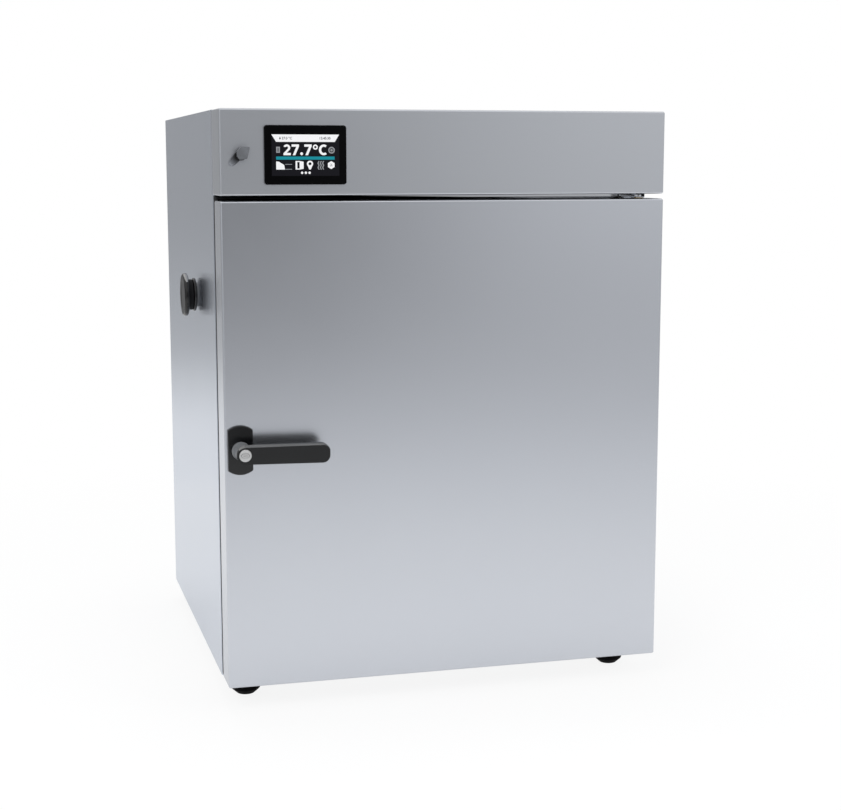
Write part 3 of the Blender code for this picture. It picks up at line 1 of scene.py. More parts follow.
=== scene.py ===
# %% [markdown]
# # Dressing a bench laboratory incubator
# The imported solids give every piece its size, its place and its joint. This lesson gives them their
# looks: satin steel, black mouldings, rubber, a lit display, and the small rounded edges that catch the
# light. We start with the solids, and at the end print the box of what shows.

# %% Load the solids
import json
import math

import bmesh
import bpy
from mathutils import Matrix, Vector


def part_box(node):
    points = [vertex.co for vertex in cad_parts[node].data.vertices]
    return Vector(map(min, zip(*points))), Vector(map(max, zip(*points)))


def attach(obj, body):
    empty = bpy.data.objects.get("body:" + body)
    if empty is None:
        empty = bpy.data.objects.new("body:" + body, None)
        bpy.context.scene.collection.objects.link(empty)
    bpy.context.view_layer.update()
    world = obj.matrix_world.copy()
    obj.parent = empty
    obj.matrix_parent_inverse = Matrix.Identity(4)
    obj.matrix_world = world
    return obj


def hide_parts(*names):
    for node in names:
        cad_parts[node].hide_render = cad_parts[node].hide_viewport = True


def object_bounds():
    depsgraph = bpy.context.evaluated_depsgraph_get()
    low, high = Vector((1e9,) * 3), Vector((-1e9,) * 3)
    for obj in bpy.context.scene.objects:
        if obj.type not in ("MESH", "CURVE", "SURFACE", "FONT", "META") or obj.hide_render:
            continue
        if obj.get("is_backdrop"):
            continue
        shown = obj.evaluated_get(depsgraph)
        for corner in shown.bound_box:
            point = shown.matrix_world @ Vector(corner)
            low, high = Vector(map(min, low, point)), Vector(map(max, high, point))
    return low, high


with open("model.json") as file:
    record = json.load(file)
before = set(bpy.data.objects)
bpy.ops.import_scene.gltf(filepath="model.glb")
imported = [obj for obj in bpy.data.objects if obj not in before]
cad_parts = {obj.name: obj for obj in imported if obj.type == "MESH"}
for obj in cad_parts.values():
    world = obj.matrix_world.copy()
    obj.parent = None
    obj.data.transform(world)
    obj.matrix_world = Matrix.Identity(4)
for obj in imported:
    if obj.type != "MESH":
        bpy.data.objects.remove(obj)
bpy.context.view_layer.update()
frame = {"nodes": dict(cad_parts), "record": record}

# %% [markdown]
# ## The camera
# The photograph was taken from the front, a little to the left and above the handle, with a long lens.
# The place below comes from lining up six corners of the casing with the picture, so it is written as
# numbers.

# %% Camera
scene = bpy.context.scene
lens = bpy.data.cameras.new("studio_camera")
lens.sensor_width = 36.0
lens.lens = 69.293
camera = bpy.data.objects.new("studio_camera", lens)
camera.location = (-0.6270, -2.5184, 0.7742)
camera.rotation_euler = (math.radians(81.554), math.radians(0.047), math.radians(-15.102))
scene.collection.objects.link(camera)
scene.camera = camera
scene.view_settings.view_transform = "Standard"
print("camera %.2f m from the middle of the floor" % camera.location.length)

# %% [markdown]
# ## The studio
# Bare steel has no colour of its own worth speaking of: it shows the room. A photographer hangs grey
# cloth round such a cabinet, so that the upper half mirrors the cloth and the lower half mirrors the
# white floor. We do the same with a ring of cloth that only reflections can see, a white floor, and an
# even white world behind it all. The floor is mostly white to the camera but keeps a part of its real
# shading, and with it the soft shadow. Steel sees more of that shading, which darkens the foot of the
# casing.

# %% Small node helpers


def set_inputs(node, values):
    """Sets a node's input sockets; their names are written with _ for a space."""
    for title, value in values.items():
        node.inputs[title.replace("_", " ")].default_value = value
    return node


def add(tree, kind, **values):
    return set_inputs(tree.nodes.new("ShaderNode" + kind), values)


def link(tree, start, end):
    tree.links.new(start, end)


def feed(tree, socket, value):
    """Gives a socket a plain value, or links it to the output of another node."""
    if isinstance(value, bpy.types.NodeSocket):
        link(tree, value, socket)
    else:
        socket.default_value = value


def math_node(tree, kind, first, second=0.5, clamp=False):
    node = add(tree, "Math")
    node.operation = kind
    node.use_clamp = clamp
    feed(tree, node.inputs[0], first)
    feed(tree, node.inputs[1], second)
    return node.outputs[0]


def vector_node(tree, kind, first, second):
    node = add(tree, "VectorMath")
    node.operation = kind
    feed(tree, node.inputs[0], first)
    feed(tree, node.inputs["Scale" if kind == "SCALE" else 1], second)
    return node.outputs["Value" if kind == "DISTANCE" else "Vector"]


def map_range(tree, value, low, high, new_low, new_high):
    """Stretches a value; every end may be a number or a socket."""
    node = add(tree, "MapRange")
    titles = ("Value", "From Min", "From Max", "To Min", "To Max")
    for title, end in zip(titles, (value, low, high, new_low, new_high)):
        feed(tree, node.inputs[title], end)
    return node.outputs[0]


def object_place(tree):
    return add(tree, "TexCoord").outputs["Object"]


def distance_from(tree, point):
    return vector_node(tree, "DISTANCE", object_place(tree), point)


# %% Helpers for the studio's shaders


def seen_directly_or_mirrored(tree):
    """1 for rays from the camera, a mirror or through glass, and 0 for the rays that light the object."""
    path = add(tree, "LightPath").outputs
    mirrored = math_node(tree, "ADD", path["Is Camera Ray"], path["Is Glossy Ray"])
    return math_node(tree, "ADD", mirrored, path["Is Transmission Ray"], clamp=True)


def mix_shaders(tree, share, first, second, output):
    """Sends a blend of two shaders to the output; a share of 1 shows the second alone."""
    blend = add(tree, "MixShader")
    for socket, value in zip(blend.inputs, (share, first.outputs[0], second.outputs[0])):
        link(tree, value, socket)
    link(tree, blend.outputs[0], output.inputs["Surface"])


def stage_finish(name, colour):
    """A material with one emission shader, for a stage piece that glows or is simply white."""
    material = bpy.data.materials.new(name)
    material.use_nodes = True
    tree = material.node_tree
    tree.nodes.clear()
    return material, tree, add(tree, "Emission", Color=colour), add(tree, "OutputMaterial")


# %% White world
world = bpy.data.worlds.new("white_studio")
scene.world = world
world.use_nodes = True
tree = world.node_tree
tree.nodes.clear()
backdrop = add(tree, "Background", Color=(1, 1, 1, 1), Strength=1.0)
room_light = add(tree, "Background", Color=(0.96, 0.98, 1.0, 1), Strength=0.62)
mix_shaders(tree, seen_directly_or_mirrored(tree), room_light, backdrop, add(tree, "OutputWorld"))

# %% Floor
MIDDLE = (0, 0, 0)
FLOOR_REACH, FLOOR_LEVEL = 9.0, -0.0004
FLOOR_WHITENESS, FLOOR_MIRRORED = 0.88, 0.45
SHADE_CORE, SHADE_END, MIRRORED_END = 0.5, 1.7, 1.5


def stage_piece(name, points, faces, material):
    mesh = bpy.data.meshes.new(name)
    mesh.from_pydata(points, [], faces)
    mesh.materials.append(material)
    thing = bpy.data.objects.new(name, mesh)
    scene.collection.objects.link(thing)
    thing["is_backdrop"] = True
    return thing


def floor_finish():
    """White far away, so that no horizon shows; near the object part of its real shading is kept."""
    material, tree, glow, output = stage_finish("studio_floor_white", (1, 1, 1, 1))
    paint = add(tree, "BsdfDiffuse", Color=(0.88, 0.88, 0.88, 1))
    far = distance_from(tree, MIDDLE)
    to_camera = map_range(tree, far, SHADE_CORE, SHADE_END, FLOOR_WHITENESS, 1.0)
    to_metal = map_range(tree, far, SHADE_CORE, MIRRORED_END, FLOOR_MIRRORED, 1.0)
    by_metal = add(tree, "LightPath").outputs["Is Glossy Ray"]
    whiteness = map_range(tree, by_metal, 0.0, 1.0, to_camera, to_metal)
    share = math_node(tree, "MULTIPLY", seen_directly_or_mirrored(tree), whiteness)
    mix_shaders(tree, share, paint, glow, output)
    return material


quarters = ((-1, -1), (1, -1), (1, 1), (-1, 1))
corners = [(FLOOR_REACH * x, FLOOR_REACH * y, FLOOR_LEVEL) for x, y in quarters]
stage_piece("studio_floor", corners, [(0, 1, 2, 3)], floor_finish())

# %% Cloth ring
CLOTH_RADIUS, CLOTH_TOP, CLOTH_LIFT = 4.4, 2.3, 0.001
CLOTH_PANELS = 48
CLOTH_FRONT, CLOTH_FRONT_FOOT, CLOTH_FRONT_RISE = 0.87, 0.445, 0.77
CLOTH_BEHIND, CLOTH_BEHIND_FOOT, CLOTH_BEHIND_RISE = 0.43, 0.58, 0.55
CLOTH_LEFT, CLOTH_LYING = 0.75, 0.97
CLOTH_ON_FLOOR, CLOTH_ON_FLOOR_BEHIND = 1.5, 2.7
DARK_SPOT = (0.10, -4.4, 0.98)
DARK_CORE, DARK_REACH, DARK_LEVEL = 0.30, 1.74, 0.24


def cloth_finish():
    """Grey cloth: lighter in front, and dark round the place that the left of the door mirrors."""
    material, tree, glow, output = stage_finish("studio_cloth_grey", (0.975, 0.985, 1.0, 1))
    axes = add(tree, "SeparateXYZ")
    link(tree, object_place(tree), axes.inputs[0])
    x, y, z = axes.outputs
    front = map_range(tree, z, 0.0, CLOTH_FRONT_RISE, CLOTH_FRONT_FOOT, CLOTH_FRONT)
    behind = map_range(tree, z, 0.0, CLOTH_BEHIND_RISE, CLOTH_BEHIND_FOOT, CLOTH_BEHIND)
    level = map_range(tree, y, -CLOTH_RADIUS, CLOTH_RADIUS, front, behind)
    to_left = map_range(tree, x, -CLOTH_RADIUS, 0.0, CLOTH_LEFT, 1.0)
    spot = map_range(tree, distance_from(tree, DARK_SPOT), DARK_CORE, DARK_REACH, DARK_LEVEL, 1.0)
    spot.node.interpolation_type = "SMOOTHSTEP"
    upright = math_node(tree, "MULTIPLY", math_node(tree, "MULTIPLY", level, to_left), spot)
    starts = map_range(tree, y, -CLOTH_RADIUS, CLOTH_RADIUS, CLOTH_ON_FLOOR, CLOTH_ON_FLOOR_BEHIND)
    lying = map_range(tree, distance_from(tree, MIDDLE), starts, CLOTH_RADIUS, 1.0, 0.0)
    link(tree, map_range(tree, lying, 0.0, 1.0, upright, CLOTH_LYING), glow.inputs["Strength"])
    link(tree, glow.outputs[0], output.inputs["Surface"])
    return material


laid = CLOTH_ON_FLOOR / CLOTH_RADIUS
ring, panels = [], []
for k in range(CLOTH_PANELS):
    turn = math.tau * k / CLOTH_PANELS
    x, y = CLOTH_RADIUS * math.cos(turn), CLOTH_RADIUS * math.sin(turn)
    ring += [(x * laid, y * laid, CLOTH_LIFT), (x, y, CLOTH_LIFT), (x, y, CLOTH_TOP)]
    here, there = 3 * k, 3 * ((k + 1) % CLOTH_PANELS)
    panels += [(here + j, there + j, there + j + 1, here + j + 1) for j in range(2)]
cloth = stage_piece("studio_cloth", ring, panels, cloth_finish())
cloth.visible_camera = False
cloth.visible_diffuse = False
cloth.visible_transmission = False
cloth.visible_shadow = False
print("cloth ring of", CLOTH_PANELS, "panels,", CLOTH_TOP, "m high")

# %% Lamps that steel does not mirror
LAMPS = [
    ("key_lamp", (-1.7, -2.4, 2.5), (0, 0, 0.4), 1.5, 42),
    ("fill_lamp", (2.3, -1.9, 1.5), (0, 0, 0.4), 1.8, 20),
    ("top_lamp", (-0.1, 0.1, 3.0), (0, 0, 0.6), 1.0, 34),
]
for name, place, aim, width, power in LAMPS:
    lamp = bpy.data.lights.new(name, "AREA")
    lamp.shape = "SQUARE"
    lamp.size = width
    lamp.energy = power
    thing = bpy.data.objects.new(name, lamp)
    thing.location = place
    thing.rotation_euler = (Vector(aim) - Vector(place)).to_track_quat("-Z", "Y").to_euler()
    thing.visible_glossy = False
    scene.collection.objects.link(thing)

# %% [markdown]
# ## Effects that several finishes share
# A surface is never one flat colour. Four effects come back on many pieces, so each is a node group that
# is built once: the fine lines of brushing, the faint clouds that hands and wiping cloths leave, the
# pitted skin of a moulding and, later, the pixels of the screen. Every pattern reads the object's own
# coordinates, which are metres here, so a scale of 1000 means one feature to a millimetre.

# %% Group builder
SOCKET_KIND = {1: "NodeSocketFloat", 3: "NodeSocketVector", 4: "NodeSocketColor"}


def new_group(name, outputs, **inputs):
    """An empty node group; one number makes a value socket, three make a vector and four a colour."""
    tree = bpy.data.node_groups.new(name, "ShaderNodeTree")
    for title, value in inputs.items():
        kind = SOCKET_KIND[len(value) if isinstance(value, tuple) else 1]
        tree.interface.new_socket(title, in_out="INPUT", socket_type=kind).default_value = value
    for title in outputs:
        kind = SOCKET_KIND[4 if title == "Colour" else 1]
        tree.interface.new_socket(title, in_out="OUTPUT", socket_type=kind)
    return tree, tree.nodes.new("NodeGroupInput").outputs, tree.nodes.new("NodeGroupOutput").inputs


def noise(tree, place, scale, detail, rough):
    node = add(tree, "TexNoise", Detail=detail, Roughness=rough)
    feed(tree, node.inputs["Scale"], scale)
    link(tree, place, node.inputs["Vector"])
    return node.outputs["Fac"]


def around(tree, middle, spread):
    """The two ends of a range about a middle value."""
    return [math_node(tree, kind, middle, spread) for kind in ("SUBTRACT", "ADD")]


# %% Brushed lines
SURFACE = ("Colour", "Roughness", "Height")
MOST_NOISE = (0.3, 0.7)
brushed_lines, ins, outs = new_group(
    "brushed_lines", SURFACE,
    Stretch=(1.0, 1.0, 1.0), Colour=(0.6, 0.6, 0.6, 1), Contrast=0.06, Roughness=0.3, Spread=0.05,
)
tree = brushed_lines
stretched = vector_node(tree, "MULTIPLY", object_place(tree), ins["Stretch"])
lines = noise(tree, stretched, 1.0, 3.0, 0.65)
tone = map_range(tree, lines, *MOST_NOISE, *around(tree, 1.0, ins["Contrast"]))
link(tree, vector_node(tree, "SCALE", ins["Colour"], tone), outs["Colour"])
rough_ends = around(tree, ins["Roughness"], ins["Spread"])
link(tree, map_range(tree, lines, *MOST_NOISE, *rough_ends), outs["Roughness"])
link(tree, lines, outs["Height"])

# %% Wiping clouds
wiping_clouds, ins, outs = new_group("wiping_clouds", ["Value"], Value=0.3, Spread=0.04, Size=9.0)
tree = wiping_clouds
clouds = noise(tree, object_place(tree), ins["Size"], 4.0, 0.55)
mask = map_range(tree, clouds, 0.35, 0.68, 0.0, 1.0)
high = math_node(tree, "ADD", ins["Value"], ins["Spread"])
link(tree, map_range(tree, mask, 0.0, 1.0, ins["Value"], high), outs["Value"])

# %% Moulded skin
moulded_skin, ins, outs = new_group(
    "moulded_skin", SURFACE, Colour=(0.1, 0.1, 0.1, 1), Roughness=0.4, Grain=1400.0, Wear=0.25
)
tree = moulded_skin
pits = noise(tree, object_place(tree), ins["Grain"], 2.0, 0.6)
haze = noise(tree, object_place(tree), 38.0, 3.0, 0.6)
edge = map_range(tree, add(tree, "NewGeometry").outputs["Pointiness"], 0.52, 0.62, 0.0, 1.0)
worn = math_node(tree, "MULTIPLY", edge, ins["Wear"])
tone = math_node(tree, "ADD", map_range(tree, haze, *MOST_NOISE, 0.88, 1.14), worn)
link(tree, vector_node(tree, "SCALE", ins["Colour"], tone), outs["Colour"])
low = math_node(tree, "SUBTRACT", ins["Roughness"], 0.04)
high = math_node(tree, "ADD", ins["Roughness"], 0.06)
link(tree, map_range(tree, haze, *MOST_NOISE, low, high), outs["Roughness"])
link(tree, pits, outs["Height"])
print("effects:", ", ".join(group.name for group in bpy.data.node_groups))

# %% [markdown]
# ## Finishes
# Each finish is one Principled shader. Steel is a metal with a fairly low roughness, because the
# photograph shows a soft mirror image of the lever above it. The door and the sides are brushed upwards,
# the fascia across and the top from front to back, as sheets are usually laid out. The roughness of the
# door and the sides stays below 0.274 everywhere; where it crosses that value, the renderer's noise
# filter leaves patches.

# %% Finish builder


def new_finish(name, **sockets):
    """A material with one Principled shader, whose input sockets come back too."""
    material = bpy.data.materials.new(name)
    material.use_nodes = True
    tree = material.node_tree
    return material, tree, set_inputs(tree.nodes["Principled BSDF"], sockets).inputs


def place_group(tree, group, **values):
    node = add(tree, "Group")
    node.node_tree = group
    return set_inputs(node, values)


def bump(tree, into, height, depth, distance):
    node = add(tree, "Bump", Strength=depth, Distance=distance)
    link(tree, height, node.inputs["Height"])
    link(tree, node.outputs[0], into["Normal"])


def ramp(tree, value, *stops):
    """Blends between two stops, each a position and a colour."""
    node = add(tree, "ValToRGB")
    for element, (position, colour) in zip(node.color_ramp.elements, stops):
        element.position = position
        element.color = (*colour, 1)
    link(tree, value, node.inputs["Fac"])
    return node.outputs["Color"]


# %% Steel


def steel_finish(name, colour, rough, stretch, contrast=0.003, spread=0.003, depth=0.002, clouds=0.010):
    material, tree, into = new_finish(name, Metallic=1.0)
    lines = place_group(tree, brushed_lines, Stretch=stretch, Colour=(*colour, 1), Contrast=contrast)
    set_inputs(lines, {"Roughness": rough, "Spread": spread})
    wiped = place_group(tree, wiping_clouds, Spread=clouds)
    link(tree, lines.outputs["Colour"], into["Base Color"])
    link(tree, lines.outputs["Roughness"], wiped.inputs["Value"])
    link(tree, wiped.outputs["Value"], into["Roughness"])
    bump(tree, into, lines.outputs["Height"], depth, 0.0002)
    return material


UPWARD, ACROSS, INWARD = (2600.0, 2600.0, 14.0), (14.0, 2600.0, 2600.0), (2600.0, 14.0, 2600.0)
COARSE, FINE, FINEST = (800.0,) * 3, (900.0,) * 3, (3000.0,) * 3
SATIN = (0.605, 0.626, 0.672)
door_steel = steel_finish("satin_steel_upward", SATIN, 0.260, UPWARD)
side_steel = steel_finish("satin_steel_sides", (0.590, 0.630, 0.705), 0.260, UPWARD)
fascia_steel = steel_finish("satin_steel_across", (0.575, 0.594, 0.632), 0.33, ACROSS)
cover_steel = steel_finish("satin_steel_top", SATIN, 0.30, INWARD)
chamber_steel = steel_finish(
    "bright_chamber_steel", (0.70, 0.71, 0.72), 0.22, INWARD, 0.012, 0.015, 0.010, 0.03
)
fitting_steel = steel_finish(
    "bright_fitting_steel", (0.69, 0.70, 0.715), 0.24, ACROSS, 0.02, 0.02, 0.015, 0.03
)
slot_steel = steel_finish("bright_slot_steel", (0.56, 0.57, 0.59), 0.14, ACROSS)
screw_zinc = steel_finish("zinc_screw", (0.62, 0.62, 0.60), 0.28, COARSE, 0.04, 0.04, 0.02)
lock_steel = steel_finish("nickelled_lock", (0.68, 0.68, 0.68), 0.30, FINE, 0.03, 0.04, 0.03)
fin_metal = steel_finish("extruded_aluminium", (0.72, 0.73, 0.74), 0.38, UPWARD, 0.06, 0.05, 0.05)
bush_brass = steel_finish("turned_brass", (0.66, 0.49, 0.22), 0.32, FINEST, 0.05, 0.05, 0.03)

# %% Galvanised sheet


def galvanised_finish():
    """Zinc freezes in flat crystals, so each cell of a Voronoi pattern gets its own tone and gloss."""
    material, tree, into = new_finish("galvanised_sheet", Metallic=1.0)
    crystals = add(tree, "TexVoronoi", Scale=120.0, Randomness=1.0)
    link(tree, object_place(tree), crystals.inputs["Vector"])
    cell = add(tree, "SeparateColor")
    link(tree, crystals.outputs["Color"], cell.inputs[0])
    tones = ramp(tree, cell.outputs[0], (0.0, (0.51, 0.525, 0.54)), (1.0, (0.575, 0.59, 0.605)))
    link(tree, tones, into["Base Color"])
    wiped = place_group(tree, wiping_clouds, Spread=0.06)
    link(tree, map_range(tree, cell.outputs[1], 0.0, 1.0, 0.40, 0.47), wiped.inputs["Value"])
    link(tree, wiped.outputs["Value"], into["Roughness"])
    return material


galvanised = galvanised_finish()

# %% Mouldings and rubber


def wear_skin(tree, into, **values):
    """Gives a shader the pitted skin of a moulding."""
    skin = place_group(tree, moulded_skin, **values)
    link(tree, skin.outputs["Colour"], into["Base Color"])
    link(tree, skin.outputs["Roughness"], into["Roughness"])
    return skin


def moulding_finish(name, colour, rough, grain, wear, depth, **sockets):
    material, tree, into = new_finish(name, **sockets)
    skin = wear_skin(tree, into, Colour=(*colour, 1), Roughness=rough, Grain=grain, Wear=wear)
    bump(tree, into, skin.outputs["Height"], depth, 0.0003)
    return material


handle_black = moulding_finish(
    "handle_black", (0.0030, 0.0032, 0.0038), 0.20, 1500.0, 0.8, 0.02, Specular_IOR_Level=0.42
)
# Painted highlight: the chamfer finish is paler than the handle and reflects more, standing in for a lamp's
# reflection.
burnished_edge = moulding_finish("burnished_edge", (0.020, 0.021, 0.023), 0.20, 1500.0, 0.8, 0.02, IOR=2.4)
sleeve_grey = moulding_finish("sleeve_grey", (0.165, 0.17, 0.18), 0.32, 1300.0, 0.3, 0.02)
matte_black = moulding_finish(
    "matte_black", (0.006, 0.006, 0.007), 0.60, 1300.0, 0.4, 0.06, Specular_IOR_Level=0.2
)
black_moulding = moulding_finish("black_moulding", (0.014, 0.014, 0.016), 0.42, 1300.0, 0.6, 0.08)
grey_moulding = moulding_finish("grey_moulding", (0.100, 0.105, 0.115), 0.45, 1300.0, 0.3, 0.06)
plug_rubber = moulding_finish(
    "plug_rubber", (0.003, 0.003, 0.0035), 0.14, 700.0, 0.5, 0.015, Specular_IOR_Level=0.45
)
foot_rubber = moulding_finish(
    "foot_rubber", (0.002, 0.002, 0.0024), 0.60, 900.0, 0.6, 0.10, Specular_IOR_Level=0.06
)
# Painted glint: a paler, strongly reflecting finish for the upward faces of the plug's grip.
polished_rim = moulding_finish(
    "polished_rim", (0.010, 0.010, 0.011), 0.16, 700.0, 0.5, 0.015, IOR=2.4, Specular_IOR_Level=1.0
)
seal_rubber = moulding_finish("seal_rubber", (0.028, 0.028, 0.031), 0.62, 800.0, 0.4, 0.08)
lens_white = moulding_finish("lamp_lens", (0.82, 0.83, 0.81), 0.28, 500.0, 0.0, 0.05)

# %% Mineral wool


def wool_finish():
    material, tree, into = new_finish("mineral_wool", Roughness=0.95, Sheen_Weight=0.3)
    fibres = math_node(tree, "MULTIPLY", noise(tree, object_place(tree), 420.0, 6.0, 0.75), 0.65)
    tufts = math_node(tree, "MULTIPLY", noise(tree, object_place(tree), 45.0, 3.0, 0.6), 0.35)
    both = math_node(tree, "ADD", fibres, tufts)
    link(tree, ramp(tree, both, (0.3, (0.36, 0.32, 0.20)), (0.7, (0.66, 0.60, 0.44))), into["Base Color"])
    bump(tree, into, both, 0.6, 0.002)
    return material


wool = wool_finish()

# %% Display glass


def glass_finish():
    """Black printed glass: almost a mirror, with faint fingerprints that only the gloss shows."""
    black = (0.0012, 0.0012, 0.0014, 1)
    material, tree, into = new_finish("display_black_glass", Base_Color=black, IOR=1.2)
    prints = place_group(tree, wiping_clouds, Value=0.05, Spread=0.09, Size=55.0)
    link(tree, prints.outputs["Value"], into["Roughness"])
    return material


screen_glass = glass_finish()

# %% [markdown]
# ## Dress every solid
# Each solid first takes the finish of its material slot. Most of those that show are then replaced below
# by pieces with rounded edges; what stays hidden in the walls, such as the wool, keeps its solid under
# its finish.

# %% Finish by slot
SLOT_FINISH = {
    "stainless": door_steel,
    "bright_steel": fitting_steel,
    "galvanised_steel": galvanised,
    "black_plastic": black_moulding,
    "grey_plastic": grey_moulding,
    "black_rubber": foot_rubber,
    "seal_rubber": seal_rubber,
    "black_glass": screen_glass,
    "mineral_wool": wool,
    "aluminium": fin_metal,
    "brass": bush_brass,
    "lamp_lens": lens_white,
}
for row in frame["record"]["subparts"]:
    solid = frame["nodes"][row["node"]]
    solid.data.materials.clear()
    solid.data.materials.append(SLOT_FINISH[row["material_slot"]])
bodies = frame["record"]["behaviour"]["bodies"]
node_body = {name: body for body, names in bodies.items() for name in names}

# %% [markdown]
# ## Rounded copies of plain sheet and block pieces
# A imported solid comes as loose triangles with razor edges. A real folded sheet has a small round at every
# edge, and that round draws the thin light lines in the photograph. We copy the solid's mesh, join its
# triangles into whole faces, bevel the sharp edges and let weighted normals shade the flats as flats. A
# bevel modifier could do this too, but loose triangles give it no edges to work on.

# %% Piece helpers


def new_piece(name, bm, finish, body, nodes=(), sharp=50.0, even=True):
    """Makes an object of a bmesh, shades it, sets it riding on a body and lets it stand for its solids."""
    bmesh.ops.recalc_face_normals(bm, faces=bm.faces)
    mesh = bpy.data.meshes.new(name)
    bm.to_mesh(mesh)
    bm.free()
    for material in finish if isinstance(finish, list) else [finish]:
        mesh.materials.append(material)
    mesh.shade_smooth()
    mesh.set_sharp_from_angle(angle=math.radians(sharp))
    thing = bpy.data.objects.new(name, mesh)
    scene.collection.objects.link(thing)
    if even:
        flats = thing.modifiers.new("flat_faces_stay_flat", "WEIGHTED_NORMAL")
        flats.keep_sharp = True
    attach(thing, body)
    if nodes:
        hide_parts(*nodes)
    return thing


def solid_bmesh(node):
    """A node's triangles, welded and joined into whole flat faces."""
    bm = bmesh.new()
    bm.from_mesh(frame["nodes"][node].data)
    bmesh.ops.remove_doubles(bm, verts=bm.verts, dist=2e-5)
    bmesh.ops.dissolve_limit(bm, angle_limit=math.radians(0.5), verts=bm.verts, edges=bm.edges)
    return bm


def round_edges(bm, edges, width, segments):
    bmesh.ops.bevel(
        bm, geom=edges, offset=width, offset_type="OFFSET", segments=segments, profile=0.5, affect="EDGES",
        clamp_overlap=True,
    )


def bevel_between(bm, width, segments, least, most):
    """Rounds the edges whose faces turn by an angle between two limits, in degrees."""
    edges = []
    for edge in bm.edges:
        if len(edge.link_faces) == 2 and least < math.degrees(edge.calc_face_angle(0.0)) <= most:
            edges.append(edge)
    round_edges(bm, edges, width, segments)


FOLD_FROM, SQUARE_FROM = 35.0, 60.0


def rounded_copy(node, name, finish, width, bend):
    """Rounds the folds of a sheet by the bend, where it has one, and its square edges by the width."""
    bm = solid_bmesh(node)
    if bend > 0:
        bevel_between(bm, bend, 3, FOLD_FROM, SQUARE_FROM)
    bevel_between(bm, width, 2, SQUARE_FROM if bend > 0 else FOLD_FROM, 180.0)
    return new_piece(name, bm, finish, node_body[node], [node], sharp=38)


# %% Casing, door sheets and chamber
SHEETS = [
    ("side_panel_left", "left_side_sheet", side_steel, 0.0003, 0.0009),
    ("side_panel_right", "right_side_sheet", side_steel, 0.0003, 0.0009),
    ("top_cover", "top_sheet", cover_steel, 0.0003, 0.0009),
    ("fascia", "fascia_sheet", fascia_steel, 0.0003, 0.0009),
    ("front_frame", "chamber_front_sheet", door_steel, 0.0003, 0),
    ("base_pan", "base_sheet", galvanised, 0.0003, 0.0009),
    ("back_panel", "back_sheet", galvanised, 0.0003, 0),
    ("chamber_liner", "chamber_walls", chamber_steel, 0.0002, 0.0025),
    ("door_skin", "door_sheet", door_steel, 0.0003, 0.0009),
    ("door_inner_panel", "door_inner_sheet", chamber_steel, 0.0003, 0),
    ("shelf_rack_left", "left_shelf_rack", fitting_steel, 0.0005, 0),
    ("shelf_rack_right", "right_shelf_rack", fitting_steel, 0.0005, 0),
    ("shelf_lower", "lower_shelf", fitting_steel, 0.0003, 0),
    ("shelf_upper", "upper_shelf", fitting_steel, 0.0003, 0),
    ("air_baffle", "air_baffle_sheet", chamber_steel, 0.0003, 0.0009),
    ("hinge_plate_lower", "lower_hinge", slot_steel, 0.0005, 0),
    ("latch_keeper", "latch_strike", fitting_steel, 0.0004, 0),
    ("latch_cam", "latch_finger", fitting_steel, 0.0005, 0),
    ("hinge_bush_upper", "upper_bush", bush_brass, 0.0003, 0),
    ("hinge_bush_lower", "lower_bush", bush_brass, 0.0003, 0),
    ("mains_inlet", "mains_socket", black_moulding, 0.0004, 0),
    ("switch_body", "switch_frame", black_moulding, 0.0004, 0),
    ("switch_rocker", "switch_paddle", black_moulding, 0.0006, 0),
    ("exhaust_fan_frame", "exhaust_frame", black_moulding, 0.0004, 0),
    ("exhaust_rotor", "exhaust_blades", black_moulding, 0.0003, 0),
    ("fan_wheel", "chamber_fan", fitting_steel, 0.0003, 0),
]
for node, name, finish, width, bend in SHEETS:
    made = rounded_copy(node, name, finish, width, bend)
    print("%-22s %5d faces" % (name, len(made.data.polygons)))

# %% [markdown]
# ## Turned pieces
# Feet, wall stops, the port's collar and its plug are all round, so each is a profile spun about an axis.
# Sharp corners of the profile are rounded first, which is cheaper and cleaner than bevelling the spun
# shape later. Each point of a profile is a radius, a place along the axis and the round of that corner.

# %% Spin helpers
ON_AXIS = 1e-7


def rounded_profile(points, steps=4):
    """(radius, along, round) points to a line whose corners are arcs of the given round."""
    line = []
    for k, (radius, along, corner) in enumerate(points):
        here = Vector((radius, along))
        if corner <= 0 or k in (0, len(points) - 1):
            line.append(here)
            continue
        before = Vector(points[k - 1][:2]) - here
        after = Vector(points[k + 1][:2]) - here
        reach = min(corner, before.length * 0.49, after.length * 0.49)
        start, end = here + before.normalized() * reach, here + after.normalized() * reach
        for step in range(steps + 1):
            t = step / steps
            line.append(start.lerp(here, t).lerp(here.lerp(end, t), t))
    return line


def disc(cx, cz, radius, steps=20, start=0.0):
    turns = [start + math.tau * k / steps for k in range(steps)]
    return [(cx + radius * math.cos(turn), cz + radius * math.sin(turn)) for turn in turns]


def skin(bm, rings):
    """Faces between neighbouring rings of points; a ring of one point closes like a lid."""
    for first, second in zip(rings, rings[1:]):
        for k in range(max(len(first), len(second))):
            corners = [first[k % len(first)], first[(k + 1) % len(first)]]
            corners += [second[(k + 1) % len(second)], second[k % len(second)]]
            bm.faces.new(list(dict.fromkeys(corners)))


def spun(points, at, axis, steps=72):
    """A profile turned about an axis through a point; one that leaves the axis is closed to a ring."""
    bm = bmesh.new()
    turn = Vector((0, 0, 1)).rotation_difference(Vector(axis)).to_matrix()
    rings = []
    for point in rounded_profile(points):
        circle = disc(0, 0, point.x, steps) if point.x > ON_AXIS else [(0, 0)]
        rings.append([bm.verts.new(Vector(at) + turn @ Vector((x, y, point.y))) for x, y in circle])
    if len(rings[0]) > 1 and len(rings[-1]) > 1:
        rings.append(rings[0])
    skin(bm, rings)
    return bm


def joint_place(name):
    """The point on a joint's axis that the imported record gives."""
    for joint in frame["record"]["behaviour"]["joints"]:
        if joint["name"] == name:
            return Vector(joint["pos_m"])


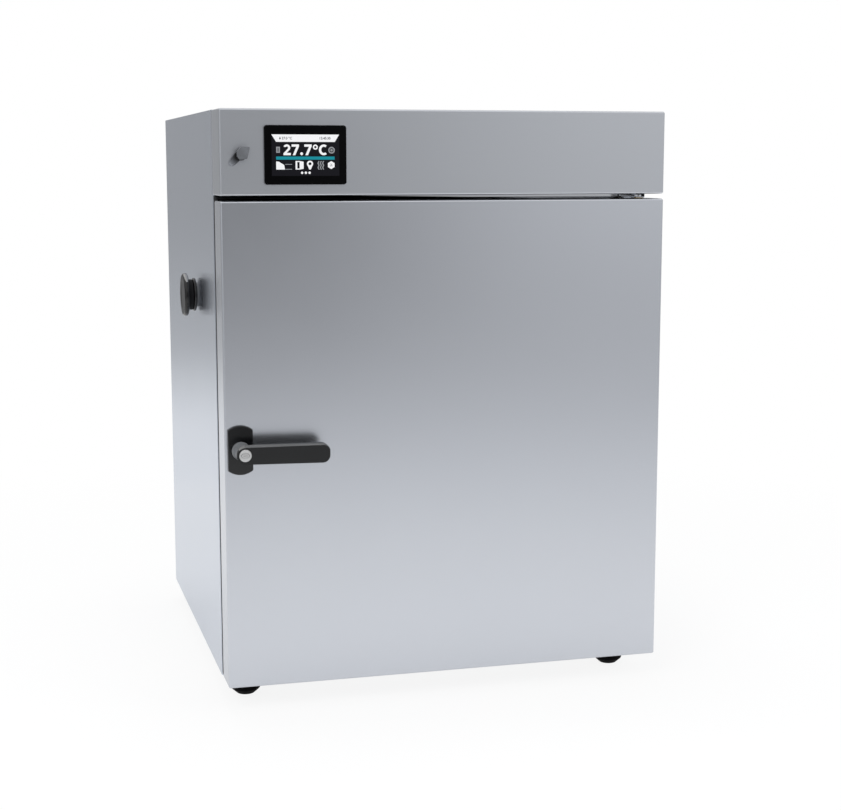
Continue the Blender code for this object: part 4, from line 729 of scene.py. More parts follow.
# %% Feet and wall stops
X_AXIS, Y_AXIS, Z_AXIS = (1, 0, 0), (0, 1, 0), (0, 0, 1)
for end in ("front_left", "front_right", "rear_left", "rear_right"):
    low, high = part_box("foot_" + end)
    centre = (low + high) / 2
    outer = (high.x - low.x) / 2
    tall = high.z - low.z
    hollow = [(0, 0.0012, 0), (0.0095, 0.0012, 0.0003), (0.0100, 0.0, 0.0005)]
    sole = [(0.0125, 0.0, 0.001), (outer, 0.008, 0.002), (outer, 0.0150, 0.0005)]
    groove = [(outer - 0.0012, 0.0156, 0.0003), (outer - 0.0012, 0.0168, 0.0003)]
    collar = [(outer, 0.0174, 0.0005), (outer, tall, 0.0012), (0, tall, 0)]
    bm = spun(hollow + sole + groove + collar, (centre.x, centre.y, 0), Z_AXIS)
    new_piece("rubber_foot_" + end, bm, foot_rubber, "cabinet", ["foot_" + end])
for hand in ("left", "right"):
    low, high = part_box("wall_stop_" + hand)
    centre = (low + high) / 2
    outer = (high.x - low.x) / 2
    deep = high.y - low.y
    body = [(0, 0, 0), (outer, 0, 0.0004), (outer, deep - 0.002, 0.002), (outer - 0.003, deep, 0.002)]
    recess = [(0.0055, deep, 0.0006), (0.0045, deep - 0.004, 0.0006), (0, deep - 0.004, 0)]
    bm = spun(body + recess, (centre.x, low.y, centre.z), Y_AXIS, 48)
    new_piece("rubber_stop_" + hand, bm, foot_rubber, "cabinet", ["wall_stop_" + hand])

# %% Collar of the access port
low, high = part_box("port_sleeve")
port = (low + high) / 2
outer = (high.y - low.y) / 2 - 0.0008
BORE, SLEEVE, SLEEVE_FOOT = 0.0150, 0.0170, 0.0186
FLANGE, FOOT_END = 0.0048, 0.0082
collar = [
    (BORE, 0.0, 0.0008),
    (outer - 0.0012, 0.0, 0.0012),
    (outer, 0.0012, 0.0012),
    (outer, 0.0038, 0.0010),
    (outer - 0.0012, FLANGE, 0.0010),
    (SLEEVE_FOOT, FLANGE + 0.0002, 0.0004),
    (SLEEVE_FOOT, FOOT_END, 0.0004),
    (SLEEVE, FOOT_END, 0.0002),
    (SLEEVE, high.x - low.x, 0.0004),
    (BORE, high.x - low.x, 0.0004),
]
bm = spun(collar, (low.x, port.y, port.z), X_AXIS)
for face in bm.faces:
    face.material_index = int(face.calc_center_median().x - low.x > FLANGE + 0.0001)
new_piece("port_collar", bm, [plug_rubber, sleeve_grey], "cabinet", ["port_sleeve"])

# %% Plug of the access port, with a painted glint on the top of its grip
low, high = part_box("port_plug")
outer = (high.y - low.y) / 2
stem_end = high.x - low.x
NECK_START, NECK_END = 0.0090, 0.0160
NECK, STEM = 0.0230, 0.0147
GLINT_ABOVE, FACES_OUT = 0.66, -0.9
IN_NECK, ON_FACE, PAINTED_GLINT = 1, 2, 3
plug = [
    (0, 0.0022, 0),
    (0.0190, 0.0022, 0.002),
    (0.0215, 0.0012, 0.002),
    (outer - 0.0022, 0.0012, 0.0020),
    (outer, 0.0034, 0.0020),
    (outer, 0.0076, 0.0014),
    (outer - 0.0016, NECK_START, 0.0012),
    (NECK, NECK_START + 0.0004, 0.0008),
    (NECK, NECK_END, 0.0008),
    (STEM, NECK_END, 0.0006),
    (STEM, stem_end - 0.004, 0.002),
    (0.0125, stem_end, 0.0015),
    (0, stem_end, 0),
]
bm = spun(plug, (low.x, port.y, port.z), X_AXIS)
bm.normal_update()
for face in bm.faces:
    along = face.calc_center_median().x - low.x
    if NECK_START < along < NECK_END:
        face.material_index = IN_NECK
    # Faces of the grip that look upwards get the painted glint finish, where a lamp above would shine.
    elif along < NECK_START and face.normal.z > GLINT_ABOVE:
        face.material_index = PAINTED_GLINT
    elif face.normal.x < FACES_OUT:
        face.material_index = ON_FACE
plug_finishes = [plug_rubber, matte_black, black_moulding, polished_rim]
new_piece("port_stopper", bm, plug_finishes, "plug", ["port_plug"])
print("plug: %.1f mm cap" % (2000 * outer))

# %% [markdown]
# ## Handle
# The handle is a black moulded plate, a lever with a round hub, and a nickelled lock in the hub. From the
# front the plate has straight sides and arched ends. Both are flat outlines given a depth, with rolled
# edges. The lever's upper edge has a broad chamfer whose faces carry a painted highlight: a paler, more
# reflective finish that draws the grey line along its top.

# %% Outline helpers


def arc(cx, cz, radius, start, end, steps):
    turns = [start + (end - start) / steps * k for k in range(steps + 1)]
    return [(cx + radius * math.cos(turn), cz + radius * math.sin(turn)) for turn in turns]


def round_box(x0, z0, x1, z1, corner, steps=8):
    outline = arc(x1 - corner, z0 + corner, corner, -math.pi / 2, 0, steps)
    outline += arc(x1 - corner, z1 - corner, corner, 0, math.pi / 2, steps)
    outline += arc(x0 + corner, z1 - corner, corner, math.pi / 2, math.pi, steps)
    return outline + arc(x0 + corner, z0 + corner, corner, math.pi, math.pi * 1.5, steps)


def oblong(x, z, half, radius, steps=12):
    """Outline of a slot with round ends."""
    outline = arc(x - half, z, radius, math.pi / 2, math.pi * 1.5, steps)
    return outline + arc(x + half, z, radius, -math.pi / 2, math.pi / 2, steps)


def thick_outline(outline, front, back, roll, segments=4, both=False):
    """A flat outline in x and z with a depth along y. The front edge, or both, is rolled over."""
    bm = bmesh.new()
    near = [bm.verts.new((x, front, z)) for x, z in outline]
    far = [bm.verts.new((x, back, z)) for x, z in outline]
    front_face = bm.faces.new(near)
    back_face = bm.faces.new(far)
    skin(bm, [near, far])
    bmesh.ops.recalc_face_normals(bm, faces=bm.faces)
    edges = list(front_face.edges) + (list(back_face.edges) if both else [])
    round_edges(bm, edges, roll, segments)
    return bm


def joined(first, second):
    """Adds the second bmesh to the first."""
    mesh = bpy.data.meshes.new("joining")
    second.to_mesh(mesh)
    second.free()
    first.from_mesh(mesh)
    bpy.data.meshes.remove(mesh)
    return first


def cut_across(bm, place, normal):
    """Cuts all faces along a plane, so that the points there can be moved."""
    everything = [*bm.verts, *bm.edges, *bm.faces]
    bmesh.ops.bisect_plane(bm, geom=everything, plane_co=place, plane_no=normal)


def clamped(share):
    return min(max(share, 0), 1)


# %% Plate
low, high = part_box("handle_plate")
plate_mid = (low + high) / 2
half = (high.x - low.x) / 2
tall = high.z - low.z
ARCH_RISE = 0.0062
CROWN, CROWN_STEPS = 0.0011, 14
arch = (half**2 + ARCH_RISE**2) / (2 * ARCH_RISE)
spread = math.asin(half / arch)
top = tall / 2 - arch
up, down = math.pi / 2, -math.pi / 2
outline = arc(plate_mid.x, plate_mid.z + top, arch, up - spread, up + spread, 20)
outline += arc(plate_mid.x, plate_mid.z - top, arch, down - spread, down + spread, 20)
bm = thick_outline(outline, low.y, high.y, 0.0014)
for k in range(1, CROWN_STEPS):
    cut_across(bm, (0, 0, low.z + tall * k / CROWN_STEPS), Z_AXIS)
for point in bm.verts:
    if point.co.y < high.y - 0.002:
        point.co.y += CROWN * (2 * (point.co.z - plate_mid.z) / tall) ** 2
new_piece("handle_backplate", bm, handle_black, "door", ["handle_plate"])

# %% Outline of the lever
low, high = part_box("handle_lever")
axis = joint_place("handle_turn")
bar_front, bar_back = low.y, low.y + 0.015
upper_half, lower_half = 0.0142, 0.0126
hub, hub_x = 0.0143, axis.x + 0.0025
corner, end_x = 0.0105, high.x
outline = arc(hub_x, axis.z, hub, math.asin(upper_half / hub), math.tau - math.asin(lower_half / hub), 32)
outline += arc(end_x - corner, axis.z - lower_half + corner, corner, -math.pi / 2, 0, 12)
outline += arc(end_x - corner, axis.z + upper_half - corner, corner, 0, math.pi / 2, 12)
droop = Matrix.Rotation(math.radians(-1.1), 2)
middle = Vector((axis.x, axis.z))
outline = [tuple(middle + droop @ (Vector(point) - middle)) for point in outline]

# %% Lever with its chamfer, and the neck behind it
ROLL = 0.0003
CHAMFER_DROP, CHAMFER_DEPTH, CHAMFER_START = 0.0031, 0.0044, 0.25
CHAMFER_UP, CHAMFER_OUT = 0.5, -0.25
END_DROP, END_NARROWING = 0.0022, 0.5
HUB_DEPTH, HUB_SHARE = 0.0055, 0.25
bm = thick_outline(outline, bar_front, bar_back, ROLL, both=True)
cut_across(bm, (0, bar_front + CHAMFER_DEPTH, 0), Y_AXIS)
for point in bm.verts:
    along = clamped((point.co.x - axis.x) / (end_x - axis.x))
    above = (point.co.z - axis.z + along * END_DROP) / upper_half
    narrowing = 1 - END_NARROWING * along
    deep = point.co.y - bar_front
    if deep < 0.5 * CHAMFER_DEPTH:
        point.co.z -= CHAMFER_DROP * narrowing * clamped((above - CHAMFER_START) / (1 - CHAMFER_START))
    elif deep < 1.1 * CHAMFER_DEPTH:
        point.co.y -= (CHAMFER_DEPTH - ROLL) * (1 - narrowing)
    else:
        point.co.y -= (bar_back - bar_front - HUB_DEPTH) * (1 - min(along / HUB_SHARE, 1))
bm.normal_update()
# The chamfer faces take the paler, more reflective finish: a painted highlight along the lever's top.
for face in bm.faces:
    face.material_index = int(face.normal.z > CHAMFER_UP and face.normal.y < CHAMFER_OUT)
new_piece("lever_moulding", bm, [handle_black, burnished_edge], "handle", ["handle_lever"], sharp=30)
SHAFT, SHAFT_FOOT = 0.0117, 0.0128
neck_start = bar_front + HUB_DEPTH - 0.0005
shaft = [(0.0, neck_start, 0), (SHAFT, neck_start, 0.0004), (SHAFT, high.y - 0.0060, 0.001)]
foot = [(SHAFT_FOOT, high.y - 0.0045, 0.001), (SHAFT_FOOT, high.y, 0.0006), (0.0, high.y, 0)]
bm = spun(shaft + foot, (axis.x, 0, axis.z), Y_AXIS, 64)
new_piece("lever_neck", bm, sleeve_grey, "handle")

# %% Lock
low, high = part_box("lock_barrel")
deep = high.y - low.y
LOCK, COVER = 0.0086, 0.0026
dish = [(0.0, 0.0007, 0), (0.0066, 0.0007, 0.0002), (0.0071, 0.0, 0.0003)]
barrel = [(LOCK - 0.0004, 0.0, 0.0005), (LOCK, 0.0006, 0.0004), (LOCK, deep, 0.0005), (0.0, deep, 0)]
bm = spun(dish + barrel, (axis.x, low.y, axis.z), Y_AXIS, 64)
cover = oblong(axis.x, axis.z, COVER, COVER)
bm = joined(bm, thick_outline(cover, low.y + 0.0001, low.y + 0.002, 0.0004))
new_piece("lock_face", bm, lock_steel, "lock", ["lock_barrel"], sharp=40)
groove = oblong(axis.x, axis.z, COVER, COVER + 0.0005)
slit = round_box(axis.x - 0.0032, axis.z - 0.0004, axis.x + 0.0032, axis.z + 0.0004, 0.0003, 3)
bm = thick_outline(slit, low.y + 0.00005, low.y + 0.0008, 0.0001, 1)
bm = joined(bm, thick_outline(groove, low.y + 0.0006, low.y + 0.002, 0.0001, 1))
new_piece("lock_keyway", bm, black_moulding, "lock", sharp=40)
print("handle axis at x %.4f, z %.4f" % (axis.x, axis.z))

# %% [markdown]
# ## Display
# The display is a black glass plate that stands proud of the fascia, with a lit panel under it. The
# reading and the marks are thin shapes just above the glass, lit from within. They are our own plain
# drawing of what such a screen shows: a header strip, a temperature, a bar, a row of marks and three
# dots. A fine grid of dark lines between the pixels keeps the light from looking like paint.

# %% Glass
low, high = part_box("display_glass")
screen_left, screen_top = low.x - 0.0013, high.z
glass_front = low.y
pane = round_box(low.x - 0.0016, low.z - 0.0004, high.x, high.z + 0.0006, 0.004)
bm = thick_outline(pane, low.y, high.y, 0.0006)
new_piece("display_pane", bm, screen_glass, "cabinet", ["display_glass"])

# %% Pixel grid
pixel_grid, ins, outs = new_group("pixel_grid", ["Colour"], Colour=(1, 1, 1, 1), Pitch=0.0002)
tree = pixel_grid
axes = add(tree, "SeparateXYZ")
link(tree, object_place(tree), axes.inputs[0])
lines = []
for direction in ("X", "Z"):
    steps = math_node(tree, "DIVIDE", axes.outputs[direction], ins["Pitch"])
    inside = math_node(tree, "SUBTRACT", math_node(tree, "FRACT", steps), 0.5)
    lines.append(map_range(tree, math_node(tree, "ABSOLUTE", inside), 0.40, 0.48, 1.0, 0.80))
dark = math_node(tree, "MULTIPLY", *lines)
link(tree, vector_node(tree, "SCALE", ins["Colour"], dark), outs["Colour"])

# %% Lit finishes


def lit_finish(name, colour):
    material, tree, into = new_finish(
        name, Base_Color=(0.0, 0.0, 0.0, 1), Roughness=0.25, Specular_IOR_Level=0.2, Emission_Strength=1.0
    )
    pixels = place_group(tree, pixel_grid, Colour=(*colour, 1))
    link(tree, pixels.outputs["Colour"], into["Emission Color"])
    return material


lit_white = lit_finish("lit_white", (0.95, 0.95, 0.97))
lit_grey = lit_finish("lit_grey", (0.30, 0.31, 0.33))
lit_teal = lit_finish("lit_teal", (0.009, 0.265, 0.33))
lit_ground = lit_finish("lit_ground", (0.0060, 0.0058, 0.0088))
lit_ink = lit_finish("lit_ink", (0.03, 0.03, 0.035))

# %% Drawing on the screen, in millimetres right of and below its upper left corner
MM = 0.001
SCREEN_FRONT = glass_front - 0.00002
LIFT = 0.00003
CAPITALS = 0.69
screen = {}


def at_screen(u, v):
    return screen_left + u * MM, screen_top - v * MM


def add_mark(finish, outline, layer=1):
    """One flat mark; an outline is a list of (right, down) points."""
    bm = screen.setdefault((finish.name, layer), bmesh.new())
    front = SCREEN_FRONT - layer * LIFT
    bm.faces.new([bm.verts.new((x, front, z)) for x, z in (at_screen(u, v) for u, v in outline)])


def add_text(finish, words, u, v, tall, weight, layer=2):
    """Figures set in Blender's own font, turned into a mesh; u and v are their lower left corner."""
    curve = bpy.data.curves.new("figures", "FONT")
    curve.body = words
    curve.size = tall * MM / CAPITALS
    curve.offset = weight * MM
    curve.resolution_u = 6
    made = bpy.data.objects.new("figures", curve)
    scene.collection.objects.link(made)
    bpy.context.view_layer.update()
    mesh = bpy.data.meshes.new_from_object(made.evaluated_get(bpy.context.evaluated_depsgraph_get()))
    x, z = at_screen(u, v)
    upright = Matrix.Rotation(math.pi / 2, 4, "X")
    mesh.transform(Matrix.Translation((x, SCREEN_FRONT - layer * LIFT, z)) @ upright)
    screen.setdefault((finish.name, layer), bmesh.new()).from_mesh(mesh)
    bpy.data.objects.remove(made)
    bpy.data.curves.remove(curve)
    bpy.data.meshes.remove(mesh)


# %% Shapes of the marks


def bar(u0, v0, u1, v1):
    return [(u0, v0), (u1, v0), (u1, v1), (u0, v1)]


def band(u, v, outer, inner, start, end, steps=28):
    """A bent band between two ellipses, given by their (across, down) reaches, from angle to angle."""
    turns = [math.radians(start + (end - start) * k / steps) for k in range(steps + 1)]
    line = [(u + outer[0] * math.cos(a), v + outer[1] * math.sin(a)) for a in turns]
    return line + [(u + inner[0] * math.cos(a), v + inner[1] * math.sin(a)) for a in reversed(turns)]


def half_rings(u, v, outer, inner, steps=14):
    return [band(u, v, outer, inner, start, start + 180, steps) for start in (0, 180)]


def figure_two(u, v):
    bow = band(u + 4.9, v + 4.6, (4.8, 4.6), (1.9, 1.8), 203, 392)
    half = len(bow) // 2
    foot = [(4.7, 11.5), (10.4, 11.5), (10.4, 14.6), (0.2, 14.6), (0.2, 12.2)]
    return bow[:half] + [(u + a, v + b) for a, b in foot] + bow[half:]


def figure_seven(u, v):
    corners = [(0, 0), (10.3, 0), (10.3, 2.6), (5.0, 14.6), (1.4, 14.6), (6.5, 3.1), (0, 3.1)]
    return [(u + a, v + b) for a, b in corners]


# %% Header, bar and reading
add_mark(lit_ground, bar(9.9, 11.9, 104.0, 68.0), 0)
add_mark(lit_white, [(9.9, 12.0), (104.0, 12.0), (97.8, 22.0), (16.2, 22.0)])
add_text(lit_ink, "27.0 °C", 24.0, 18.6, 3.2, 0.10)
add_text(lit_ink, "12:45:30", 76.0, 18.6, 3.2, 0.10)
add_mark(lit_ink, [(21.6, 15.0), (22.7, 17.2), (22.4, 18.4), (21.6, 18.8), (20.8, 18.4), (20.5, 17.2)], 2)
add_mark(lit_teal, bar(16.0, 41.8, 97.4, 46.0))
READING_TOP = 25.4
reading = [figure_two(26.0, READING_TOP), figure_seven(37.6, READING_TOP)]
reading += [disc(51.4, READING_TOP + 12.6, 2.0), figure_seven(55.2, READING_TOP)]
reading += half_rings(70.6, READING_TOP + 3.6, (3.5, 3.5), (1.6, 1.6))
reading += [band(82.3, READING_TOP + 7.3, (6.8, 7.3), (3.5, 4.3), 52, 308)]
for outline in reading:
    add_mark(lit_white, outline)

# %% Small symbols: tube, clock, curve, door, lamp, heat, frost and three dots
add_mark(lit_grey, bar(16.2, 28.6, 21.4, 36.8))
add_mark(lit_ground, bar(18.2, 30.2, 19.4, 35.2), 2)
add_mark(lit_grey, disc(93.2, 33.2, 4.6, 28))
add_mark(lit_ground, disc(93.2, 33.2, 2.9, 24), 2)
add_mark(lit_grey, disc(93.2, 33.2, 1.7), 3)
add_mark(lit_white, [(16.0, 48.4), (19.6, 48.8), (27.0, 53.2), (28.0, 59.4), (16.0, 59.4)])
for v in (52.0, 58.6):
    add_mark(lit_grey, bar(28.4, v, 38.0, v + 0.8))
door = [bar(42.8, 47.8, 45.2, 59.4), bar(45.2, 47.8, 48.4, 49.2), bar(45.2, 58.0, 48.4, 59.4)]
door += [[(48.4, 47.8), (54.0, 48.8), (54.0, 58.4), (48.4, 59.4)]]
for outline in door + half_rings(62.9, 51.6, (4.4, 4.2), (2.1, 2.0)):
    add_mark(lit_white, outline)
add_mark(lit_white, [(59.8, 55.0), (66.0, 55.0), (63.9, 59.4), (61.9, 59.4)], 2)
for k in range(3):
    for j in range(4):
        lean = 0.7 * (1 if j % 2 else -1)
        u, v, end = 74.0 + 3.2 * k, 47.9 + 2.9 * j, 47.9 + 2.9 * j + 2.9
        add_mark(lit_grey, [(u - lean, v), (u + 1.6 - lean, v), (u + 1.6 + lean, end), (u + lean, end)])
add_mark(lit_white, disc(92.6, 53.4, 5.4, 6, math.pi / 6))
for k in range(3):
    across, up = math.cos(math.pi * k / 3), math.sin(math.pi * k / 3)
    arm = bar(-2.6, -0.25, 2.6, 0.25)
    add_mark(lit_grey, [(92.6 + a * across - b * up, 53.4 + a * up + b * across) for a, b in arm], 2 + k)
for u in (51.8, 57.0, 62.2):
    add_mark(lit_white, disc(u, 63.8, 1.7))
for (finish, layer), bm in sorted(screen.items()):
    new_piece("screen_%s_%d" % (finish, layer), bm, bpy.data.materials[finish], "cabinet", even=False)
print("screen layers:", len(screen))

# %% [markdown]
# ## Fresh-air lever
# A small tab beside the display turns the rod of the fresh-air shutter: a slanted thumb piece on a round
# hub. Down to the left of it lies a dark piece that is painted shadow, standing for the shadow that the tab
# casts on the fascia. All three are plain outlines or turned shapes. The shadow piece is made level first
# and then thinned towards its end by moving its points, which is simpler than building a wedge by hand. It
# is painted black under the tab and fades until it is nearly as pale as the steel at its end.

# %% Outlines for the lever, and the finish of its painted shadow


def rounded_loop(corners, steps=5):
    """(x, z, round) corners of a closed outline to a line whose corners are arcs."""
    line = rounded_profile([corners[-1], *corners, corners[0]], steps)[1:-1]
    return [(point.x, point.y) for point in line]


def paddle(start, end, near, far, steps=12):
    """Outline of a tapered bar with round ends."""
    heading = math.atan2(end[1] - start[1], end[0] - start[0])
    lean = math.acos((near - far) / math.dist(start, end))
    outline = arc(*end, far, heading - lean, heading + lean, steps)
    return outline + arc(*start, near, heading + lean, heading - lean + math.tau, steps)


# Painted shadow: black near the tab, fading with distance to a pale grey close to the steel's tone.
def painted_shadow_finish(point, black_until, pale_from):
    material, tree, into = new_finish("scuffed_tail", Specular_IOR_Level=0.2)
    share = map_range(tree, distance_from(tree, point), black_until, pale_from, 0.0, 1.0)
    shadow_fade = ramp(tree, share, (0.0, (0.004, 0.004, 0.005)), (1.0, (0.190, 0.200, 0.220)))
    skin = wear_skin(tree, into, Roughness=0.5, Grain=1300.0, Wear=0.4)
    link(tree, shadow_fade, skin.inputs["Colour"])
    return material


# %% Thumb piece, hub and painted shadow
low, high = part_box("vent_lever")
axis = joint_place("vent_turn")
TAB_LIFT, TAB_DEPTH = 0.0024, 0.0085
HUB, HUB_FOOT = 0.0062, 0.0071
SHADOW_THINNING = 0.70
top, foot = high.z + TAB_LIFT, low.z + TAB_LIFT
tab = [(low.x + 0.0034, foot, 0.002), (high.x - 0.0040, foot, 0.0012), (high.x, top, 0.0012)]
tab += [(low.x + 0.0046, top, 0.003), (low.x, top - 0.0056, 0.003), (low.x, foot + 0.0030, 0.002)]
tab_back = low.y + TAB_DEPTH
bm = thick_outline(rounded_loop(tab), low.y, tab_back, 0.0009, both=True)
deep = high.y - tab_back
hub = [(0, 0, 0), (HUB, 0, 0.0006), (HUB, deep - 0.0010, 0.0004)]
hub += [(HUB_FOOT, deep - 0.0006, 0.0003), (HUB_FOOT, deep, 0.0002), (0, deep, 0)]
bm = joined(bm, spun(hub, (axis.x, tab_back, axis.z), Y_AXIS, 48))
new_piece("vent_tab", bm, grey_moulding, "vent", ["vent_lever"])
# A dark piece in the shape of the tab's shadow, lying down to the left of it: painted shadow.
start, end = (axis.x - 0.0030, axis.z + 0.0008), (axis.x - 0.0122, axis.z - 0.0098)
bm = thick_outline(paddle(start, end, 0.0056, 0.0046), tab_back + 0.0006, high.y, 0.0010)
along = Vector((end[0] - start[0], 0, end[1] - start[1]))
for point in bm.verts:
    share = (point.co - Vector((start[0], 0, start[1]))).dot(along) / along.length_squared
    point.co.y = high.y + (point.co.y - high.y) * (1 - SHADOW_THINNING * clamped(share))
shadow_tail_finish = painted_shadow_finish((start[0], high.y, start[1]), 0.0080, 0.0180)
new_piece("vent_tail", bm, shadow_tail_finish, "vent")
print("vent tab stands %.1f mm proud" % (1000 * (high.y - low.y)))

# %% [markdown]
# ## Slot over the door
# Between the door and the fascia there is a slot for the upper hinge. A narrow bright strip closes it
# from behind: in the photograph it is the light line above the dark one. The hinge arm itself is a flat
# outline seen from above, so we build it standing up like the others and then swap its depth and height.
# The black cap over its end is made in the same way.

# %% Hinge arm, end cap and closing strip


def laid_flat(bm):
    for point in bm.verts:
        point.co.yz = point.co.zy
    return bm


hinge_low, hinge_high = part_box("hinge_plate_upper")
pin = joint_place("door_swing")
PIN_RADIUS, ARM_THICK = 0.0040, 0.003
arm_low, arm_high = hinge_high.z - ARM_THICK, hinge_high.z
arm_left = pin.x - 0.0140
nose = hinge_high.x - pin.x
frame_low, frame_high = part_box("front_frame")
arm_back = frame_low.y - 0.0004
outline = arc(pin.x, pin.y, nose, 0, -math.pi * 0.8, 16)
outline += [(arm_left, pin.y + 0.016), (arm_left, arm_back), (hinge_high.x, arm_back)]
bm = thick_outline(outline, arm_low, arm_high, 0.0004, 2, both=True)
pin_outline = disc(pin.x, pin.y, PIN_RADIUS, 28)
bm = joined(bm, thick_outline(pin_outline, hinge_low.z, arm_low, 0.0004))
new_piece("upper_hinge", laid_flat(bm), slot_steel, "cabinet", ["hinge_plate_upper"], sharp=40)
fascia_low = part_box("fascia")[0]
slot_top = fascia_low.z - 0.0003
outline = arc(pin.x, pin.y, nose + 0.0006, -math.pi * 0.42, math.pi * 0.42, 20)
bm = thick_outline(outline, arm_low - 0.0002, slot_top, 0.0004, 2, both=True)
new_piece("hinge_end_cap", laid_flat(bm), matte_black, "cabinet", sharp=40)
strip = round_box(frame_low.x + 0.001, frame_high.z + 0.0002, arm_left - 0.001, slot_top, 0.0006, 3)
bm = thick_outline(strip, frame_low.y - 0.0002, frame_high.y, 0.0002, 2)
new_piece("slot_closing_strip", bm, slot_steel, "cabinet")

# %% [markdown]
# ## Door seal and pressed door lining
# The seal is an extruded rubber profile with a foot, a soft bellows and a flat magnetic bulb, cut at 45
# degrees and welded at the corners. We carry its closed profile round a rectangle; taking each corner
# inwards by the same amount along both sides gives the mitre by itself. Round the outside a matte black lip
# on the cabinet fills the gap behind the door. It is painted shade: a black piece that stands for the
# shadow in that gap and makes the dark line beside the door. Its top slopes up to the left and covers that
# part of the slot, as painted shade that deepens to the left. Inside the seal the lining of the door has a
# raised field, which keeps such a thin sheet from drumming.

# %% Seal


def swept_frame(profile, low, high):
    """A closed profile of (inward, outward from the door, round) points carried round a rectangle."""
    bm = bmesh.new()
    loops = []
    for point in rounded_profile(profile):
        x0, x1, z0, z1 = low.x + point.x, high.x - point.x, low.z + point.x, high.z - point.x
        corners = ((x0, z0), (x1, z0), (x1, z1), (x0, z1))
        loops.append([bm.verts.new((x, low.y + point.y, z)) for x, z in corners])
    skin(bm, loops + loops[:1])
    return bm


SEAL_WIDTH = 0.016
low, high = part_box("door_seal")
deep = high.y - low.y
foot = [(0.0, 0.0, 0), (0.0, 0.0018, 0.0005), (0.0020, 0.0028, 0.0008)]
bellows = [(0.0034, 0.0046, 0.0008), (0.0020, 0.0066, 0.0008), (0.0032, 0.0086, 0.0008)]
bulb = [(0.0016, 0.0100, 0.0012), (0.0016, deep - 0.0014, 0.0014), (0.0036, deep, 0.0012)]
outer_half = foot + bellows + bulb
inner_half = [(SEAL_WIDTH - inward, out, corner) for inward, out, corner in reversed(outer_half)]
bm = swept_frame(outer_half + inner_half, low, high)
new_piece("door_gasket", bm, seal_rubber, "door", ["door_seal"])

# %% Black lip on the cabinet, painted shade in the gap behind the door
lip_low = Vector((frame_low.x - 0.0216, frame_low.y - 0.0002, frame_low.z + 0.003))
lip_high = Vector((pin.x - 0.0083, 0, frame_high.z - 0.0013))
LIP_HEIGHT = 0.009
SLOPE_START, SLOPE_END, SLOPE_CUTS = -0.17, 0.16, 8
lip = [(0.0, 0.0, 0), (0.0080, 0.0, 0), (0.0076, -0.0090, 0.002), (0.0055, -0.0128, 0.0012)]
lip += [(0.0025, -0.0128, 0.0012), (0.0004, -0.0090, 0.002)]
bm = swept_frame(lip, lip_low, lip_high)
# The black top is raised towards the left: painted shade over the left part of the slot.
slope_rise = fascia_low.z - 0.0004 - lip_high.z
for k in range(SLOPE_CUTS + 1):
    cut_across(bm, (SLOPE_START + (SLOPE_END - SLOPE_START) * k / SLOPE_CUTS, 0, 0), X_AXIS)
for point in bm.verts:
    if point.co.z > lip_high.z - LIP_HEIGHT:
        along = (point.co.x - SLOPE_START) / (SLOPE_END - SLOPE_START)
        point.co.z += slope_rise * (1 - clamped(along))
new_piece("dust_lip", bm, matte_black, "cabinet")
print("lip rises by %.1f mm to the left" % (1000 * slope_rise))

# %% Pressed field
FIELD_MARGIN, FIELD_RISE, FIELD_CORNER = 0.040, 0.0032, 0.022
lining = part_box("door_inner_panel")[1].y
left, right = low.x + FIELD_MARGIN, high.x - FIELD_MARGIN
field = round_box(left, low.z + FIELD_MARGIN, right, high.z - FIELD_MARGIN, FIELD_CORNER)
bm = thick_outline(field, lining + FIELD_RISE, lining - 0.0002, FIELD_RISE - 0.0004, 6)
new_piece("door_pressed_field", bm, chamber_steel, "door")
print("seal %.0f x %.0f mm" % (1000 * (high.x - low.x), 1000 * (high.z - low.z)))

# %% [markdown]
# ## Inside the chamber
# The lamp in the ceiling has a steel rim and a glass with prism rings; the probe has a rounded tip, and a
# gland nut where it comes through the baffle. All are turned, apart from the nut, which is a six-sided
# outline.

# %% Lamp
low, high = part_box("chamber_lamp")
centre = (low + high) / 2
outer = (high.x - low.x) / 2
deep = high.z - low.z
ceiling = (centre.x, centre.y, high.z)
DOWN = (0, 0, -1)
LENS_RINGS, LENS_EDGE = 8, 0.0046
rim_inner = outer - 0.0052
glass = [(0.0, deep, 0)]
for ring in range(1, LENS_RINGS):
    reach = rim_inner * ring / LENS_RINGS
    crown = LENS_EDGE + (deep - LENS_EDGE) * (1 - (ring / LENS_RINGS) ** 2)
    glass += [(reach - 0.0003, crown - 0.0007, 0), (reach + 0.0003, crown, 0)]
glass += [(rim_inner, LENS_EDGE, 0.0004), (rim_inner, 0.0010, 0), (0.0, 0.0010, 0)]
new_piece("lamp_glass", spun(glass, ceiling, DOWN, 64), lens_white, "cabinet", ["chamber_lamp"], sharp=25)
rim = [(rim_inner, 0.0, 0), (outer, 0.0, 0.0005), (outer, 0.0032, 0.0014), (outer - 0.0020, 0.0050, 0.0012)]
rim += [(rim_inner + 0.0006, 0.0054, 0.0006), (rim_inner, LENS_EDGE, 0.0003)]
new_piece("lamp_rim", spun(rim, ceiling, DOWN, 64), fitting_steel, "cabinet")

